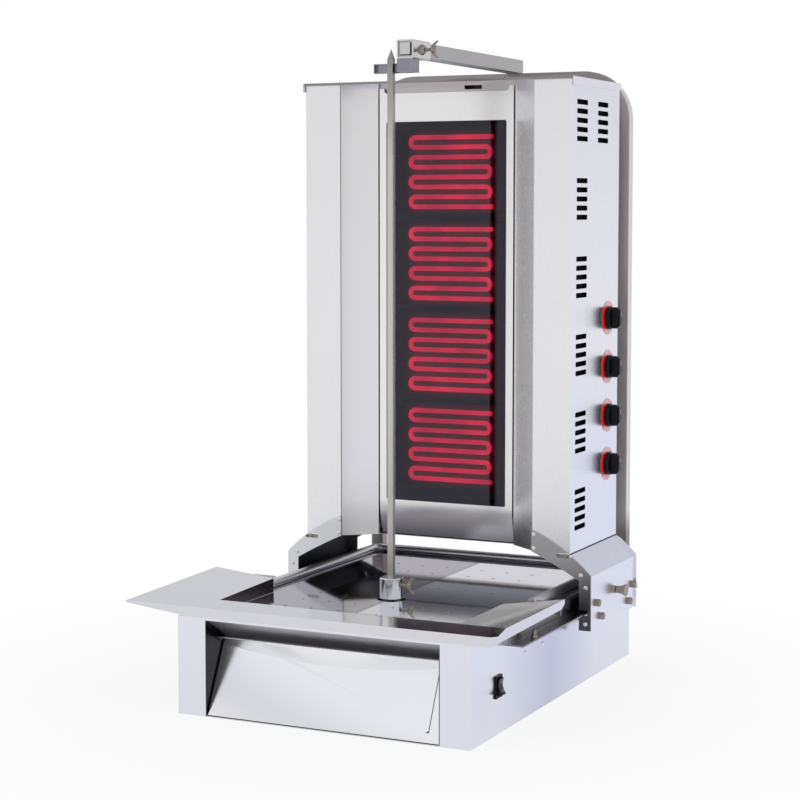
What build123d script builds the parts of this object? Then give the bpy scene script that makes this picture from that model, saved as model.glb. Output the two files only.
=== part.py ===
from build123d import *
import math
import os

os.makedirs("parts", exist_ok=True)

# Electric vertical broiler. Millimetres, +X to the right, +Y to the rear, +Z up.
# The origin is where the spindle's axis meets the worktop.

# Sheet metal, fasteners and clearances
SHEET = 1.5
SLIDE_GAP = 0.5
SHAFT_GAP = 0.05
BODY_GAP = 0.3
SCREW_HEAD_R = 4.0
SCREW_HEAD_H = 2.0

# Base cabinet
BASE_W = 520.0
BASE_D = 726.0
BASE_H = 162.0
SPINDLE_SETBACK = 259.0
FRONT = -SPINDLE_SETBACK
REAR = FRONT + BASE_D
CHEEK_W = 52.0
RECESS_DEPTH = 62.0
TOP_LIP = 4.0
COVE_DROP = 38.0
COVE_SAG = 3.0
COVE_SKIRT = 10.0
LEDGE_W = 72.0
FRONT_LEDGE = 60.0
REAR_LEDGE = 66.0

# Drawer
DRAWER_SIDE_GAP = 8.0
DRAWER_WALL = 1.2
DRAWER_FLOOR_Z = 4.0
DRAWER_TOP_DROP = 58.0
DRAWER_REAR_SPACE = 86.0
FACE_GAP = 2.0
FACE_FOOT = 2.8
FACE_LEAN = 25.3
PULL_END_DROP = 50.0
PULL_MID_DROP = 68.0
PULL_TOP_DROP = 37.0
PULL_SETBACK = 30.0
RUNNER_W = 22.0
RUNNER_H = 28.0
RUNNER_T = 2.0
RUNNER_GAP = 2.0

# Meat tray on the base's front
TRAY_FRONT = -20.0
TRAY_RISE = 20.5
TRAY_TILT = 1.65
TRAY_OVER_LEFT = 87.0
TRAY_OVER_RIGHT = 40.0
TRAY_CORNER = 9.0
STRIP_REAR = 42.0
APRON_REAR = 118.0
WALL_INSET = 54.0
FACET_INSET = 70.0
WING_REAR = 267.0
WALL_REAR = 221.0
FACET_REAR = 290.0
TRAY_LIP = 16.0
TRAY_TIP_LIP = 3.0
TRAY_TAPER_L = 120.0
TRAY_SIDE_LIP = 14.0

# Perforated pans
PAN_H = 3.0
PAN_SEAM = 0.6
PAN_CLEARANCE = 6.0
HUB_HOLE_R = 25.0
PERF_R = 2.6
PERF_FIRST_X = 35.0
PERF_PITCH_X = 49.0
PERF_COLUMNS = 3
PERF_FIRST_Y = 131.0
PERF_PITCH_Y = 61.6
PERF_ROWS = 8

# Drive and spindle
HUB_R = 20.0
HUB_H = 36.0
HUB_LIFT = 1.0
SOCKET_DEPTH = 30.0
SPINDLE_SQ = 10.0
SPINDLE_FIT = 0.15
SPINDLE_OVER_ARM = 1.5
SPINDLE_POINT = 17.0
SHAFT_R = 8.0
SHAFT_IN_MOTOR = 26.0
BRIDGE_T = 2.0
BRIDGE_D = 90.0
BRIDGE_DROP = 14.0
MOTOR_W = 84.0
MOTOR_D = 70.0
MOTOR_H = 34.0
BEARING_R = 23.0
BEARING_H = 11.0
BOLT_R = 3.0
BOLT_DROP = 12.0
WING_SPAN = 15.0
WING_RISE = 11.0
WING_TIP = 12.0
WING_ROUND = 13.5
WING_ROUND_RISE = 3.3
WING_SHOULDER_RISE = 8.25

# Rails on the base
TUBE_R = 8.0
RAIL_INSET = 24.0
RAIL_FRONT_LEFT = 262.0
RAIL_FRONT_RIGHT = 303.0
RAIL_REAR_SPACE = 46.0
RAIL_BEND = 16.0
END_PLATE_Y = 299.0
END_PLATE_IN = 14.0
END_PLATE_OUT = 30.0
END_PLATE_H = 15.0
ANGLE_DROP = 31.0
ANGLE_T = 3.0
ANGLE_OUT = 25.0
ANGLE_UP = 28.0
ANGLE_FRONT = 150.0
ANGLE_REAR_SPACE = 26.0
STOP_Y = 212.0
STOP_R = 3.5
STOP_H = 13.0

# Rear frame and support arm
FRAME_REAR_SPACE = 21.0
FRAME_DEPTH = 20.0
FRAME_TOP = 1069.0
FRAME_R = 90.0
FRAME_FLANGE = 24.0
FRAME_OPEN_H = 74.0
ARM_X = 32.0
ARM_SQ = 25.0
ARM_WALL = 2.0
ARM_FRONT = 248.0
SLEEVE_WALL = 2.5
SLEEVE_FRONT = 245.0
SLEEVE_LEN = 66.0
GUIDE_T = 3.0
GUIDE_W = 26.0
GUIDE_DROP = 22.2
GUIDE_H = 16.0
GUIDE_LEFT = -37.0
GUIDE_BEHIND = 9.0
GUIDE_DEEP = 9.0

# Heater housing
HOUSE_HALF = 254.0
HOUSE_FRONT = 433.0
HOUSE_REAR = 666.0
HOUSE_CLEARANCE = 69.6
ROOF_DROP = 28.0
REAR_FLANGE = 15.0
STRIP_INNER = 185.5
PANEL_HALF = 131.5
PANEL_SETBACK = 43.5
PANEL_GAP = 2.5
PANEL_BOTTOM_RISE = 3.4
PANEL_TOP_DROP = 8.0
SCOOP_H = 61.0
SCOOP_DEPTH = 13.0
NOTCH_HALF = 120.0
NOTCH_H = 9.0
NOTCH_R = 7.0
GLASS_W = 230.0
GLASS_BOTTOM_RISE = 67.4
GLASS_TOP_DROP = 68.0
GLASS_T = 4.0
GLASS_R = 3.0
ROOF_OVER = 2.5
ROOF_SKIRT = 14.0
ROOF_FRONT = 6.0
ROOF_LIP = 3.0
TOP_STRIP_H = 24.0
TOP_SLOT_X = 50.0
TOP_SLOT_W = 33.0
TOP_SLOT_H = 7.0

# Heating elements, one above another
ZONES = 4
ZONE_RISE = 99.4
ZONE_TIGHTER_L = 6.3
COIL_RUNS = 8
COIL_PITCH = 17.5
COIL_HALF = 81.0
COIL_R = 4.0
COIL_SETBACK = 21.5
INSULATION_W = 212.0
INSULATION_GAP = 12.2
INSULATION_D = 26.0

# Vent slots in the housing's sides
SLOT_L = 52.0
SLOT_H = 8.8
SLOT_R = 2.6
SLOT_PITCH = 15.5
SLOTS_IN_GROUP = 5
SLOT_GROUPS = 6
SLOT_LOW_RISE = 103.9
SLOT_TOP_DROP = 40.0
SLOT_Y = 480.0
SLOT_REAR_Y = 582.0

# Power knobs
KNOB_Y = 614.0
KNOB_FIRST_Z = 367.8
KNOB_PITCH = 86.6
KNOB_R = 20.5
KNOB_SKIRT = 8.0
KNOB_H = 24.0
GRIP_W = 13.0
DISC_R = 30.0
DISC_T = 1.0
REGULATOR_SQ = 46.0
REGULATOR_D = 34.0
STEM_R = 3.0
STEM_IN_KNOB = 14.0

# Carriage that carries the housing along the base
BRACKET_T = 3.0
BRACKET_LIP = 3.0
BRACKET_FOOT_W = 21.0
BRACKET_EAR = 37.4
BRACKET_EAR_W = 4.0
BRACKET_CROWN = 9.0
BRACKET_ARCH = 1.5
BRACKET_NECK = 10.0
BRACKET_SLOT_L = 26.0
BRACKET_SLOT_H = 8.0
BRACKET_SLOT_INSET = 10.0
EAR_SCREW_RISE = 31.0
EAR_LOW_SCREW_RISE = 7.0
SHOULDER_SCREW_INSET = 9.0
SIDE_SCREW_DROP = 18.0
FOOT_SCREW_RISE = 12.0
COVER_OUT = 30.0
COVER_SHOULDER_RISE = 33.0
COVER_DROP = 59.0
ANGLE_NOTCH = 2.0
PAD_R = 11.5
PAD_L = 18.0
PAD_FRONT = 467.7
PAD_REAR = 653.8
PAD_STAGGER = 20.5
NUT_R = 6.5
NUT_H = 8.0
CLAMP_Y = 570.0
CLAMP_DROP = 11.0
CLAMP_R = 4.0
CLAMP_FOOT_R = 6.6
CLAMP_WAIST_R = 8.8
CLAMP_HEAD_R = 11.0
CLAMP_STEM_L = 10.8
CLAMP_FLARE_L = 7.2

# Switch, cord gland and side screws on the base
SWITCH_Y = 105.0
SWITCH_Z = 76.5
SWITCH_W = 26.0
SWITCH_H = 36.0
SWITCH_T = 3.0
SWITCH_BODY = 26.0
SWITCH_LIP = 2.0
ROCKER_TILT = 8.0
ROCKER_PROUD = 0.6
ROCKER_DISH = 0.3
GLAND_INSET = 80.0
GLAND_Z = 60.0
GLAND_R = 9.0
GLAND_BORE = 4.0
SIDE_SCREW_Z = 106.0
SIDE_SCREWS_Y = (220.0, 294.0)

# Places worked out from the sizes above
SIDE = BASE_W / 2
RECESS_HALF = SIDE - CHEEK_W
DRAWER_TOP = BASE_H - DRAWER_TOP_DROP
DRAWER_REAR = BASE_D - DRAWER_REAR_SPACE
PULL_END_Z = BASE_H - PULL_END_DROP
PULL_MID_Z = BASE_H - PULL_MID_DROP
PULL_TOP_Z = BASE_H - PULL_TOP_DROP
TRAY_Z = BASE_H + TRAY_RISE
TRAY_LEFT = -SIDE - TRAY_OVER_LEFT
TRAY_RIGHT = SIDE + TRAY_OVER_RIGHT
WALL_X = WALL_INSET - SIDE
FACET_X = SIDE - FACET_INSET
RAIL_X = SIDE - RAIL_INSET
RAIL_REAR = BASE_D - RAIL_REAR_SPACE
PAN_HALF = RAIL_X - TUBE_R - PAN_CLEARANCE
ANGLE_Z = BASE_H - ANGLE_DROP
ANGLE_REAR = BASE_D - ANGLE_REAR_SPACE
COVER_X = SIDE + COVER_OUT
COVER_SHOULDER = BASE_H + COVER_SHOULDER_RISE
COVER_BOTTOM = BASE_H - COVER_DROP
CLAMP_Z = BASE_H - CLAMP_DROP
GLAND_X = SIDE - GLAND_INSET
FRAME_Y = BASE_D - FRAME_REAR_SPACE
HOUSE_BOTTOM = BASE_H + HOUSE_CLEARANCE
HOUSE_TOP = FRAME_TOP - ROOF_DROP
PANEL_BOTTOM = HOUSE_BOTTOM + PANEL_BOTTOM_RISE
SCOOP_TOP = PANEL_BOTTOM + SCOOP_H
PANEL_TOP = HOUSE_TOP - PANEL_TOP_DROP
GLASS_BOTTOM = HOUSE_BOTTOM + GLASS_BOTTOM_RISE
GLASS_TOP = HOUSE_TOP - GLASS_TOP_DROP
ZONE_FIRST_Z = GLASS_BOTTOM + ZONE_RISE
ZONE_PITCH = (GLASS_TOP - GLASS_BOTTOM) / ZONES - ZONE_TIGHTER_L
INSULATION_H = ZONE_PITCH - INSULATION_GAP
SLOT_TOP_Z = HOUSE_TOP - SLOT_TOP_DROP
SLOT_GROUP_PITCH = (SLOT_TOP_Z - HOUSE_BOTTOM - SLOT_LOW_RISE) / (SLOT_GROUPS - 1)
PAN_TOP = BASE_H + PAN_H
HUB_BOTTOM = PAN_TOP + HUB_LIFT
HUB_TOP = HUB_BOTTOM + HUB_H
BRIDGE_TOP = BASE_H - BRIDGE_DROP
PANEL_Y = HOUSE_FRONT + PANEL_SETBACK
COIL_Y = PANEL_Y + COIL_SETBACK
CARRIER_Y = COIL_Y + COIL_R + SHAFT_GAP + INSULATION_D
ARM_Z = FRAME_TOP + ARM_SQ / 2
SLEEVE_HALF = ARM_SQ / 2 + BODY_GAP + SLEEVE_WALL
SPINDLE_TOP = ARM_Z + SPINDLE_OVER_ARM
GUIDE_BOTTOM = ARM_Z - SLEEVE_HALF - GUIDE_DROP
DRAWER_HALF = RECESS_HALF - DRAWER_SIDE_GAP
LEAN_RUN = math.tan(math.radians(FACE_LEAN))


def y_at(distance):
    """Y of a place measured back from the cabinet's front face."""
    return FRONT + distance


def front_plane(distance):
    """Upright plane facing the front: its x is X and its y is Z."""
    return Plane(origin=(0, y_at(distance), 0), x_dir=(1, 0, 0), z_dir=(0, -1, 0))


def side_plane(x):
    """Upright plane facing +X: its x is Y and its y is Z."""
    return Plane(origin=(x, 0, 0), x_dir=(0, 1, 0), z_dir=(1, 0, 0))


def along_x(x, distance, z, facing=1):
    """Place whose own z axis points along +X, or along -X with facing -1."""
    return Location(Plane(origin=(x, y_at(distance), z), x_dir=(0, 1, 0), z_dir=(facing, 0, 0)))


def along_y(x, distance, z, facing=-1):
    """Place whose own z axis points to the front, or to the rear with facing 1."""
    return Location(Plane(origin=(x, y_at(distance), z), x_dir=(1, 0, 0), z_dir=(0, facing, 0)))


def folded(points, hand, thickness=SHEET):
    """Outline of a folded sheet along the points, its thickness on the left of a right-hand piece."""
    with BuildLine() as path:
        Polyline(*[(hand * x, y) for x, y in points])
        offset(amount=thickness, kind=Kind.INTERSECTION, side=Side.LEFT if hand > 0 else Side.RIGHT)
    return path.edges()


def face_y(z):
    """Distance of the leaning drawer face from the cabinet's front at height z."""
    return FACE_GAP + (z - FACE_FOOT) * LEAN_RUN


def tray_z(distance):
    """Height of the tray's tilted top sheet at a distance from the cabinet's front."""
    return TRAY_Z + (distance - TRAY_FRONT) * math.tan(math.radians(TRAY_TILT))


def zone_z(index):
    return ZONE_FIRST_Z + index * ZONE_PITCH


def knob_z(index):
    return KNOB_FIRST_Z + index * KNOB_PITCH


def save(piece, name):
    piece.part.label = name
    export_step(piece.part, f"parts/{name}.step")


# Base cabinet

def base_shell():
    bottom_aligned = (Align.CENTER, Align.MIN, Align.MIN)
    with BuildPart() as shell:
        with Locations((0, FRONT, 0)):
            Box(BASE_W, BASE_D, BASE_H, align=bottom_aligned)
        with Locations((0, FRONT + SHEET, 0)):
            Box(BASE_W - 2 * SHEET, BASE_D - 2 * SHEET, BASE_H - SHEET, align=bottom_aligned,
                mode=Mode.SUBTRACT)
        with Locations((0, y_at(FRONT_LEDGE), BASE_H - SHEET)):
            Box(BASE_W - 2 * LEDGE_W, BASE_D - FRONT_LEDGE - REAR_LEDGE, SHEET, align=bottom_aligned,
                mode=Mode.SUBTRACT)
        with Locations((0, FRONT, 0)):
            Box(2 * RECESS_HALF, SHEET, BASE_H - TOP_LIP, align=bottom_aligned, mode=Mode.SUBTRACT)
        for hand in (-1, 1):
            with Locations((hand * (RECESS_HALF + SHEET / 2), FRONT, SHEET)):
                Box(SHEET, RECESS_DEPTH, BASE_H - 2 * SHEET, align=bottom_aligned)
        with Locations((SIDE, y_at(SWITCH_Y), SWITCH_Z)):
            Box(4 * SHEET, SWITCH_W - 2 * SWITCH_LIP, SWITCH_H - 2 * SWITCH_LIP, mode=Mode.SUBTRACT)
        with Locations(along_y(GLAND_X, BASE_D, GLAND_Z)):
            Cylinder(GLAND_R + SLIDE_GAP, 4 * SHEET, mode=Mode.SUBTRACT)
    return shell


def base_floor():
    with BuildPart() as floor:
        with Locations((0, FRONT + SHEET, 0)):
            Box(BASE_W - 2 * SHEET, BASE_D - 2 * SHEET, SHEET, align=(Align.CENTER, Align.MIN, Align.MIN))
    return floor


def front_cove():
    top = BASE_H - TOP_LIP
    low = top - COVE_DROP
    back = RECESS_DEPTH - SHEET
    with BuildPart() as cove:
        with BuildSketch(side_plane(-RECESS_HALF)):
            with BuildLine():
                ThreePointArc((y_at(SHEET), top), (y_at((SHEET + back) / 2), (top + low) / 2 + COVE_SAG),
                              (y_at(back), low))
                Line((y_at(back), low), (y_at(back), low - COVE_SKIRT))
                offset(amount=SHEET, kind=Kind.INTERSECTION, side=Side.LEFT)
            make_face()
        extrude(amount=2 * RECESS_HALF)
    return cove


def drawer_runners():
    inner = DRAWER_HALF + RUNNER_GAP
    with BuildPart() as runners:
        for hand in (-1, 1):
            with BuildSketch(front_plane(RECESS_DEPTH)):
                with BuildLine():
                    Polyline((hand * (inner - RUNNER_W), SHEET), (hand * (inner + RUNNER_T), SHEET),
                             (hand * (inner + RUNNER_T), RUNNER_H), (hand * inner, RUNNER_H),
                             (hand * inner, SHEET + RUNNER_T),
                             (hand * (inner - RUNNER_W), SHEET + RUNNER_T), close=True)
                make_face()
            extrude(amount=RECESS_DEPTH - DRAWER_REAR)
    return runners


# Drawer

def drawer_pan():
    front_offset = SHEET / math.cos(math.radians(FACE_LEAN))
    wall_offset = DRAWER_WALL / math.cos(math.radians(FACE_LEAN))
    floor = DRAWER_FLOOR_Z
    with BuildPart() as pan:
        with BuildSketch(side_plane(-DRAWER_HALF)):
            with BuildLine():
                Polyline((y_at(face_y(floor) + front_offset), floor), (y_at(DRAWER_REAR), floor),
                         (y_at(DRAWER_REAR), DRAWER_TOP),
                         (y_at(face_y(DRAWER_TOP) + front_offset), DRAWER_TOP), close=True)
            make_face()
        extrude(amount=2 * DRAWER_HALF)
        inside = floor + DRAWER_WALL
        setback = front_offset + wall_offset
        with BuildSketch(side_plane(DRAWER_WALL - DRAWER_HALF)):
            with BuildLine():
                Polyline((y_at(face_y(inside) + setback), inside), (y_at(DRAWER_REAR - DRAWER_WALL), inside),
                         (y_at(DRAWER_REAR - DRAWER_WALL), DRAWER_TOP),
                         (y_at(face_y(DRAWER_TOP) + setback), DRAWER_TOP), close=True)
            make_face()
        extrude(amount=2 * (DRAWER_HALF - DRAWER_WALL), mode=Mode.SUBTRACT)
    return pan


def drawer_front():
    half = RECESS_HALF - FACE_GAP
    lean = math.radians(FACE_LEAN)
    face = Plane(origin=(0, y_at(FACE_GAP), FACE_FOOT), x_dir=(1, 0, 0),
                 z_dir=(0, -math.cos(lean), math.sin(lean)))
    end_up = (PULL_END_Z - FACE_FOOT) / math.cos(lean)
    mid_up = (PULL_MID_Z - FACE_FOOT) / math.cos(lean)
    with BuildPart() as front:
        with BuildSketch(face):
            with BuildLine():
                Polyline((-half, end_up), (-half, 0), (half, 0), (half, end_up))
                ThreePointArc((half, end_up), (0, mid_up), (-half, end_up))
            make_face()
        extrude(amount=-SHEET)
        stations = [-half, -half / 2, 0, half / 2, half]
        for station in stations:
            crease = PULL_MID_Z + (PULL_END_Z - PULL_MID_Z) * (station / half) ** 2
            root = (y_at(face_y(crease)), crease)
            tip = (y_at(PULL_SETBACK), PULL_TOP_Z)
            below = (root[0] - SHEET * math.sin(lean), root[1] - SHEET * math.cos(lean))
            with BuildSketch(side_plane(station)):
                with BuildLine():
                    Polyline(below, root, tip)
                    offset(amount=SHEET, kind=Kind.INTERSECTION, side=Side.RIGHT)
                make_face()
        loft()
    return front


# Meat tray

def top_patch(points):
    outline = Wire.make_polygon([(x, y_at(distance), z) for x, distance, z in points])
    extrude(Face(outline), amount=SHEET, dir=(0, 0, -1))


def tray():
    strip_z = tray_z(STRIP_REAR)
    floor_z = PAN_TOP + SLIDE_GAP + SHEET
    edge_x = TRAY_RIGHT + TRAY_CORNER
    into = SHEET / 2
    with BuildPart() as sheet:
        top_patch([(WALL_X, TRAY_FRONT, TRAY_Z), (TRAY_RIGHT, TRAY_FRONT, TRAY_Z),
                   (edge_x, TRAY_FRONT + TRAY_CORNER, tray_z(TRAY_FRONT + TRAY_CORNER)),
                   (TRAY_RIGHT, STRIP_REAR, strip_z), (WALL_X, STRIP_REAR, strip_z)])
        top_patch([(TRAY_LEFT, TRAY_FRONT, TRAY_Z), (WALL_X, TRAY_FRONT, TRAY_Z),
                   (WALL_X, WALL_REAR, tray_z(WALL_REAR)), (TRAY_LEFT, WING_REAR, tray_z(WING_REAR))])
        top_patch([(WALL_X, STRIP_REAR, strip_z), (TRAY_RIGHT, STRIP_REAR, strip_z),
                   (FACET_X, APRON_REAR, floor_z), (WALL_X, APRON_REAR, floor_z)])
        top_patch([(TRAY_RIGHT, STRIP_REAR, strip_z), (TRAY_RIGHT, FACET_REAR, strip_z),
                   (FACET_X, FACET_REAR, floor_z), (FACET_X, APRON_REAR, floor_z)])
        with BuildSketch(side_plane(WALL_X)):
            with BuildLine():
                Polyline((y_at(STRIP_REAR), strip_z - into), (y_at(APRON_REAR), floor_z - SHEET),
                         (y_at(WALL_REAR), floor_z - SHEET), (y_at(WALL_REAR), tray_z(WALL_REAR) - into),
                         close=True)
            make_face()
        extrude(amount=-SHEET)
        rib_end = APRON_REAR - SHEET
        rib_fall = (strip_z - floor_z) * (rib_end - STRIP_REAR) / (APRON_REAR - STRIP_REAR)
        for x in (WALL_X, -WALL_X):
            with BuildSketch(side_plane(x)):
                with BuildLine():
                    Polyline((y_at(SHEET), BASE_H), (y_at(rib_end), BASE_H),
                             (y_at(rib_end), strip_z - rib_fall - into), (y_at(STRIP_REAR), strip_z - into),
                             (y_at(SHEET), tray_z(SHEET) - into), close=True)
                make_face()
            extrude(amount=-SHEET)
        with BuildSketch(front_plane(TRAY_FRONT)):
            with BuildLine():
                Polyline((TRAY_LEFT, TRAY_Z - into), (TRAY_LEFT, TRAY_Z - TRAY_TIP_LIP),
                         (TRAY_LEFT + TRAY_TAPER_L, TRAY_Z - TRAY_LIP), (TRAY_RIGHT, TRAY_Z - TRAY_LIP),
                         (TRAY_RIGHT, TRAY_Z - into), close=True)
            make_face()
        extrude(amount=-SHEET)
        with BuildSketch(side_plane(TRAY_RIGHT)):
            with BuildLine():
                Polyline((y_at(TRAY_FRONT), TRAY_Z - into), (y_at(TRAY_FRONT), TRAY_Z - TRAY_LIP),
                         (y_at(FACET_REAR - TRAY_SIDE_LIP), strip_z - TRAY_SIDE_LIP),
                         (y_at(FACET_REAR), strip_z - TRAY_SIDE_LIP / 2),
                         (y_at(FACET_REAR), strip_z - into), (y_at(STRIP_REAR), strip_z - into),
                         close=True)
            make_face()
        extrude(amount=-SHEET)
    return sheet


def pan(hand):
    depth = DRAWER_REAR - APRON_REAR - SLIDE_GAP
    with BuildPart() as half:
        with Locations((hand * (PAN_SEAM + PAN_HALF) / 2, y_at(APRON_REAR + SLIDE_GAP), BASE_H)):
            Box(PAN_HALF - PAN_SEAM, depth, PAN_H, align=(Align.CENTER, Align.MIN, Align.MIN))
        with Locations((0, 0, BASE_H)):
            Cylinder(HUB_HOLE_R, 4 * PAN_H, mode=Mode.SUBTRACT)
        first = (hand * (PERF_FIRST_X + PERF_PITCH_X * (PERF_COLUMNS - 1) / 2),
                 y_at(PERF_FIRST_Y + PERF_PITCH_Y * (PERF_ROWS - 1) / 2), BASE_H)
        with Locations(first):
            with GridLocations(PERF_PITCH_X, PERF_PITCH_Y, PERF_COLUMNS, PERF_ROWS):
                Cylinder(PERF_R, 4 * PAN_H, mode=Mode.SUBTRACT)
    return half


# Drive, hub and spindle

def motor_bridge():
    half = SIDE - SHEET
    with BuildPart() as bridge:
        with BuildSketch(Plane(origin=(0, BRIDGE_D / 2, 0), x_dir=(1, 0, 0), z_dir=(0, -1, 0))):
            bottom = BRIDGE_TOP - BRIDGE_T
            make_face(folded([(-half, BASE_H - SHEET), (-half, bottom), (half, bottom),
                              (half, BASE_H - SHEET)], 1, BRIDGE_T))
        extrude(amount=BRIDGE_D)
        with Locations((0, 0, BRIDGE_TOP)):
            Cylinder(SHAFT_R + 2 * SLIDE_GAP, 4 * BRIDGE_T, mode=Mode.SUBTRACT)
    return bridge


def gear_motor():
    top = BRIDGE_TOP - BRIDGE_T
    with BuildPart() as motor:
        with Locations((0, 0, top)):
            Box(MOTOR_W, MOTOR_D, MOTOR_H, align=(Align.CENTER, Align.CENTER, Align.MAX))
        fillet(motor.edges().filter_by(Axis.Z), 8 * SHEET)
        with Locations((0, 0, top)):
            Cylinder(SHAFT_R + SHAFT_GAP, SHAFT_IN_MOTOR, align=(Align.CENTER, Align.CENTER, Align.MAX),
                     mode=Mode.SUBTRACT)
    return motor


def bearing_block():
    with BuildPart() as bearing:
        with Locations((0, 0, BRIDGE_TOP)):
            Cylinder(BEARING_R, BEARING_H, align=(Align.CENTER, Align.CENTER, Align.MIN))
        chamfer(bearing.edges().sort_by(Axis.Z)[-1], SHEET)
        with Locations((0, 0, BRIDGE_TOP)):
            Cylinder(SHAFT_R + SHAFT_GAP, 4 * BEARING_H, mode=Mode.SUBTRACT)
    return bearing


def drive_shaft():
    foot = BRIDGE_TOP - BRIDGE_T - SHAFT_IN_MOTOR + SLIDE_GAP
    with BuildPart() as shaft:
        with Locations((0, 0, foot)):
            Cylinder(SHAFT_R, HUB_BOTTOM - foot, align=(Align.CENTER, Align.CENTER, Align.MIN))
    return shaft


def hub():
    socket = SPINDLE_SQ + 2 * SPINDLE_FIT
    upward = (Align.CENTER, Align.CENTER, Align.MIN)
    with BuildPart() as body:
        with Locations((0, 0, HUB_BOTTOM)):
            Cylinder(HUB_R, HUB_H, align=upward)
        chamfer(body.edges().group_by(Axis.Z)[-1] + body.edges().group_by(Axis.Z)[0], SHEET)
        with Locations((0, 0, HUB_TOP)):
            Box(socket, socket, SOCKET_DEPTH, align=(Align.CENTER, Align.CENTER, Align.MAX),
                mode=Mode.SUBTRACT)
        with Locations(along_x(0, SPINDLE_SETBACK, HUB_TOP - BOLT_DROP)):
            Cylinder(BOLT_R + SHAFT_GAP, HUB_R + SHEET, align=upward, mode=Mode.SUBTRACT)
    return body


def wing_bolt(start_x, length, distance, z):
    """Thumb screw along X with two upswept ears, its tip at start_x."""
    boss_l = 2 * BOLT_R
    with BuildPart() as bolt:
        with Locations(along_x(start_x, distance, z)):
            Cylinder(BOLT_R, length, align=(Align.CENTER, Align.CENTER, Align.MIN))
        with Locations(along_x(start_x + length - boss_l, distance, z)):
            Cone(2 * BOLT_R, 1.5 * BOLT_R, boss_l, align=(Align.CENTER, Align.CENTER, Align.MIN))
        root = start_x + length - boss_l / 2
        with BuildSketch(Plane(origin=(0, y_at(distance), z), x_dir=(1, 0, 0), z_dir=(0, -1, 0))):
            for ear in (-1, 1):
                with BuildLine():
                    Polyline((root - BOLT_R, 0), (root + BOLT_R, 0),
                             (root + WING_RISE, ear * WING_TIP), (root + WING_SHOULDER_RISE, ear * WING_SPAN),
                             (root + WING_ROUND_RISE, ear * WING_ROUND), close=True)
                make_face()
        extrude(amount=BOLT_R / 2, both=True)
    return bolt


def spindle():
    foot = HUB_TOP - SOCKET_DEPTH + BODY_GAP
    point = SPINDLE_TOP - SPINDLE_POINT
    with BuildPart() as bar:
        with Locations((0, 0, foot)):
            Box(SPINDLE_SQ, SPINDLE_SQ, point - foot, align=(Align.CENTER, Align.CENTER, Align.MIN))
        with BuildSketch(Plane.XY.offset(point)):
            Rectangle(SPINDLE_SQ, SPINDLE_SQ)
        with BuildSketch(Plane.XY.offset(SPINDLE_TOP)):
            Rectangle(SLIDE_GAP, SLIDE_GAP)
        loft()
    return bar


# Rails and stops on the base

def u_rail():
    z = BASE_H + TUBE_R
    with BuildPart() as rail:
        with BuildLine():
            FilletPolyline((-RAIL_X, y_at(RAIL_FRONT_LEFT), z), (-RAIL_X, y_at(RAIL_REAR), z),
                           (RAIL_X, y_at(RAIL_REAR), z), (RAIL_X, y_at(RAIL_FRONT_RIGHT), z),
                           radius=RAIL_BEND)
        with BuildSketch(Plane(origin=(-RAIL_X, y_at(RAIL_FRONT_LEFT), z), z_dir=(0, 1, 0))):
            Circle(TUBE_R)
        sweep()
    return rail


def rail_end_plates():
    with BuildPart() as plates:
        for hand in (-1, 1):
            with BuildSketch(front_plane(END_PLATE_Y)):
                with BuildLine():
                    Polyline((hand * (SIDE - END_PLATE_IN), BASE_H), (hand * SIDE, BASE_H),
                             (hand * (SIDE + END_PLATE_OUT), BASE_H - END_PLATE_H / 2),
                             (hand * (SIDE + END_PLATE_OUT), BASE_H + END_PLATE_H),
                             (hand * (SIDE - END_PLATE_IN), BASE_H + END_PLATE_H), close=True)
                make_face()
            extrude(amount=-SHEET)
    return plates


def slide_angle(hand):
    with BuildPart() as angle:
        with BuildSketch(front_plane(ANGLE_FRONT)):
            with BuildLine():
                Polyline((hand * SIDE, ANGLE_Z), (hand * (SIDE + ANGLE_OUT), ANGLE_Z),
                         (hand * (SIDE + ANGLE_OUT), ANGLE_Z + ANGLE_T),
                         (hand * (SIDE + ANGLE_T), ANGLE_Z + ANGLE_T),
                         (hand * (SIDE + ANGLE_T), ANGLE_Z + ANGLE_UP), (hand * SIDE, ANGLE_Z + ANGLE_UP),
                         close=True)
            make_face()
        extrude(amount=ANGLE_FRONT - ANGLE_REAR)
    return angle


def base_fasteners():
    stop_x = SIDE + ANGLE_OUT - 2 * STOP_R
    with BuildPart() as screws:
        for hand in (-1, 1):
            with Locations((hand * stop_x, y_at(STOP_Y), ANGLE_Z + ANGLE_T)):
                Cylinder(STOP_R, STOP_H, align=(Align.CENTER, Align.CENTER, Align.MIN))
                Cylinder(1.5 * STOP_R, STOP_H / 3, align=(Align.CENTER, Align.CENTER, Align.MIN))
            places = [along_x(hand * SIDE, distance, SIDE_SCREW_Z, hand) for distance in SIDE_SCREWS_Y]
            places.append(along_y(hand * (SIDE - END_PLATE_IN / 2), END_PLATE_Y, BASE_H + END_PLATE_H / 2))
            with Locations(*places):
                Cylinder(SCREW_HEAD_R, SCREW_HEAD_H, align=(Align.CENTER, Align.CENTER, Align.MIN))
    return screws


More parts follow.
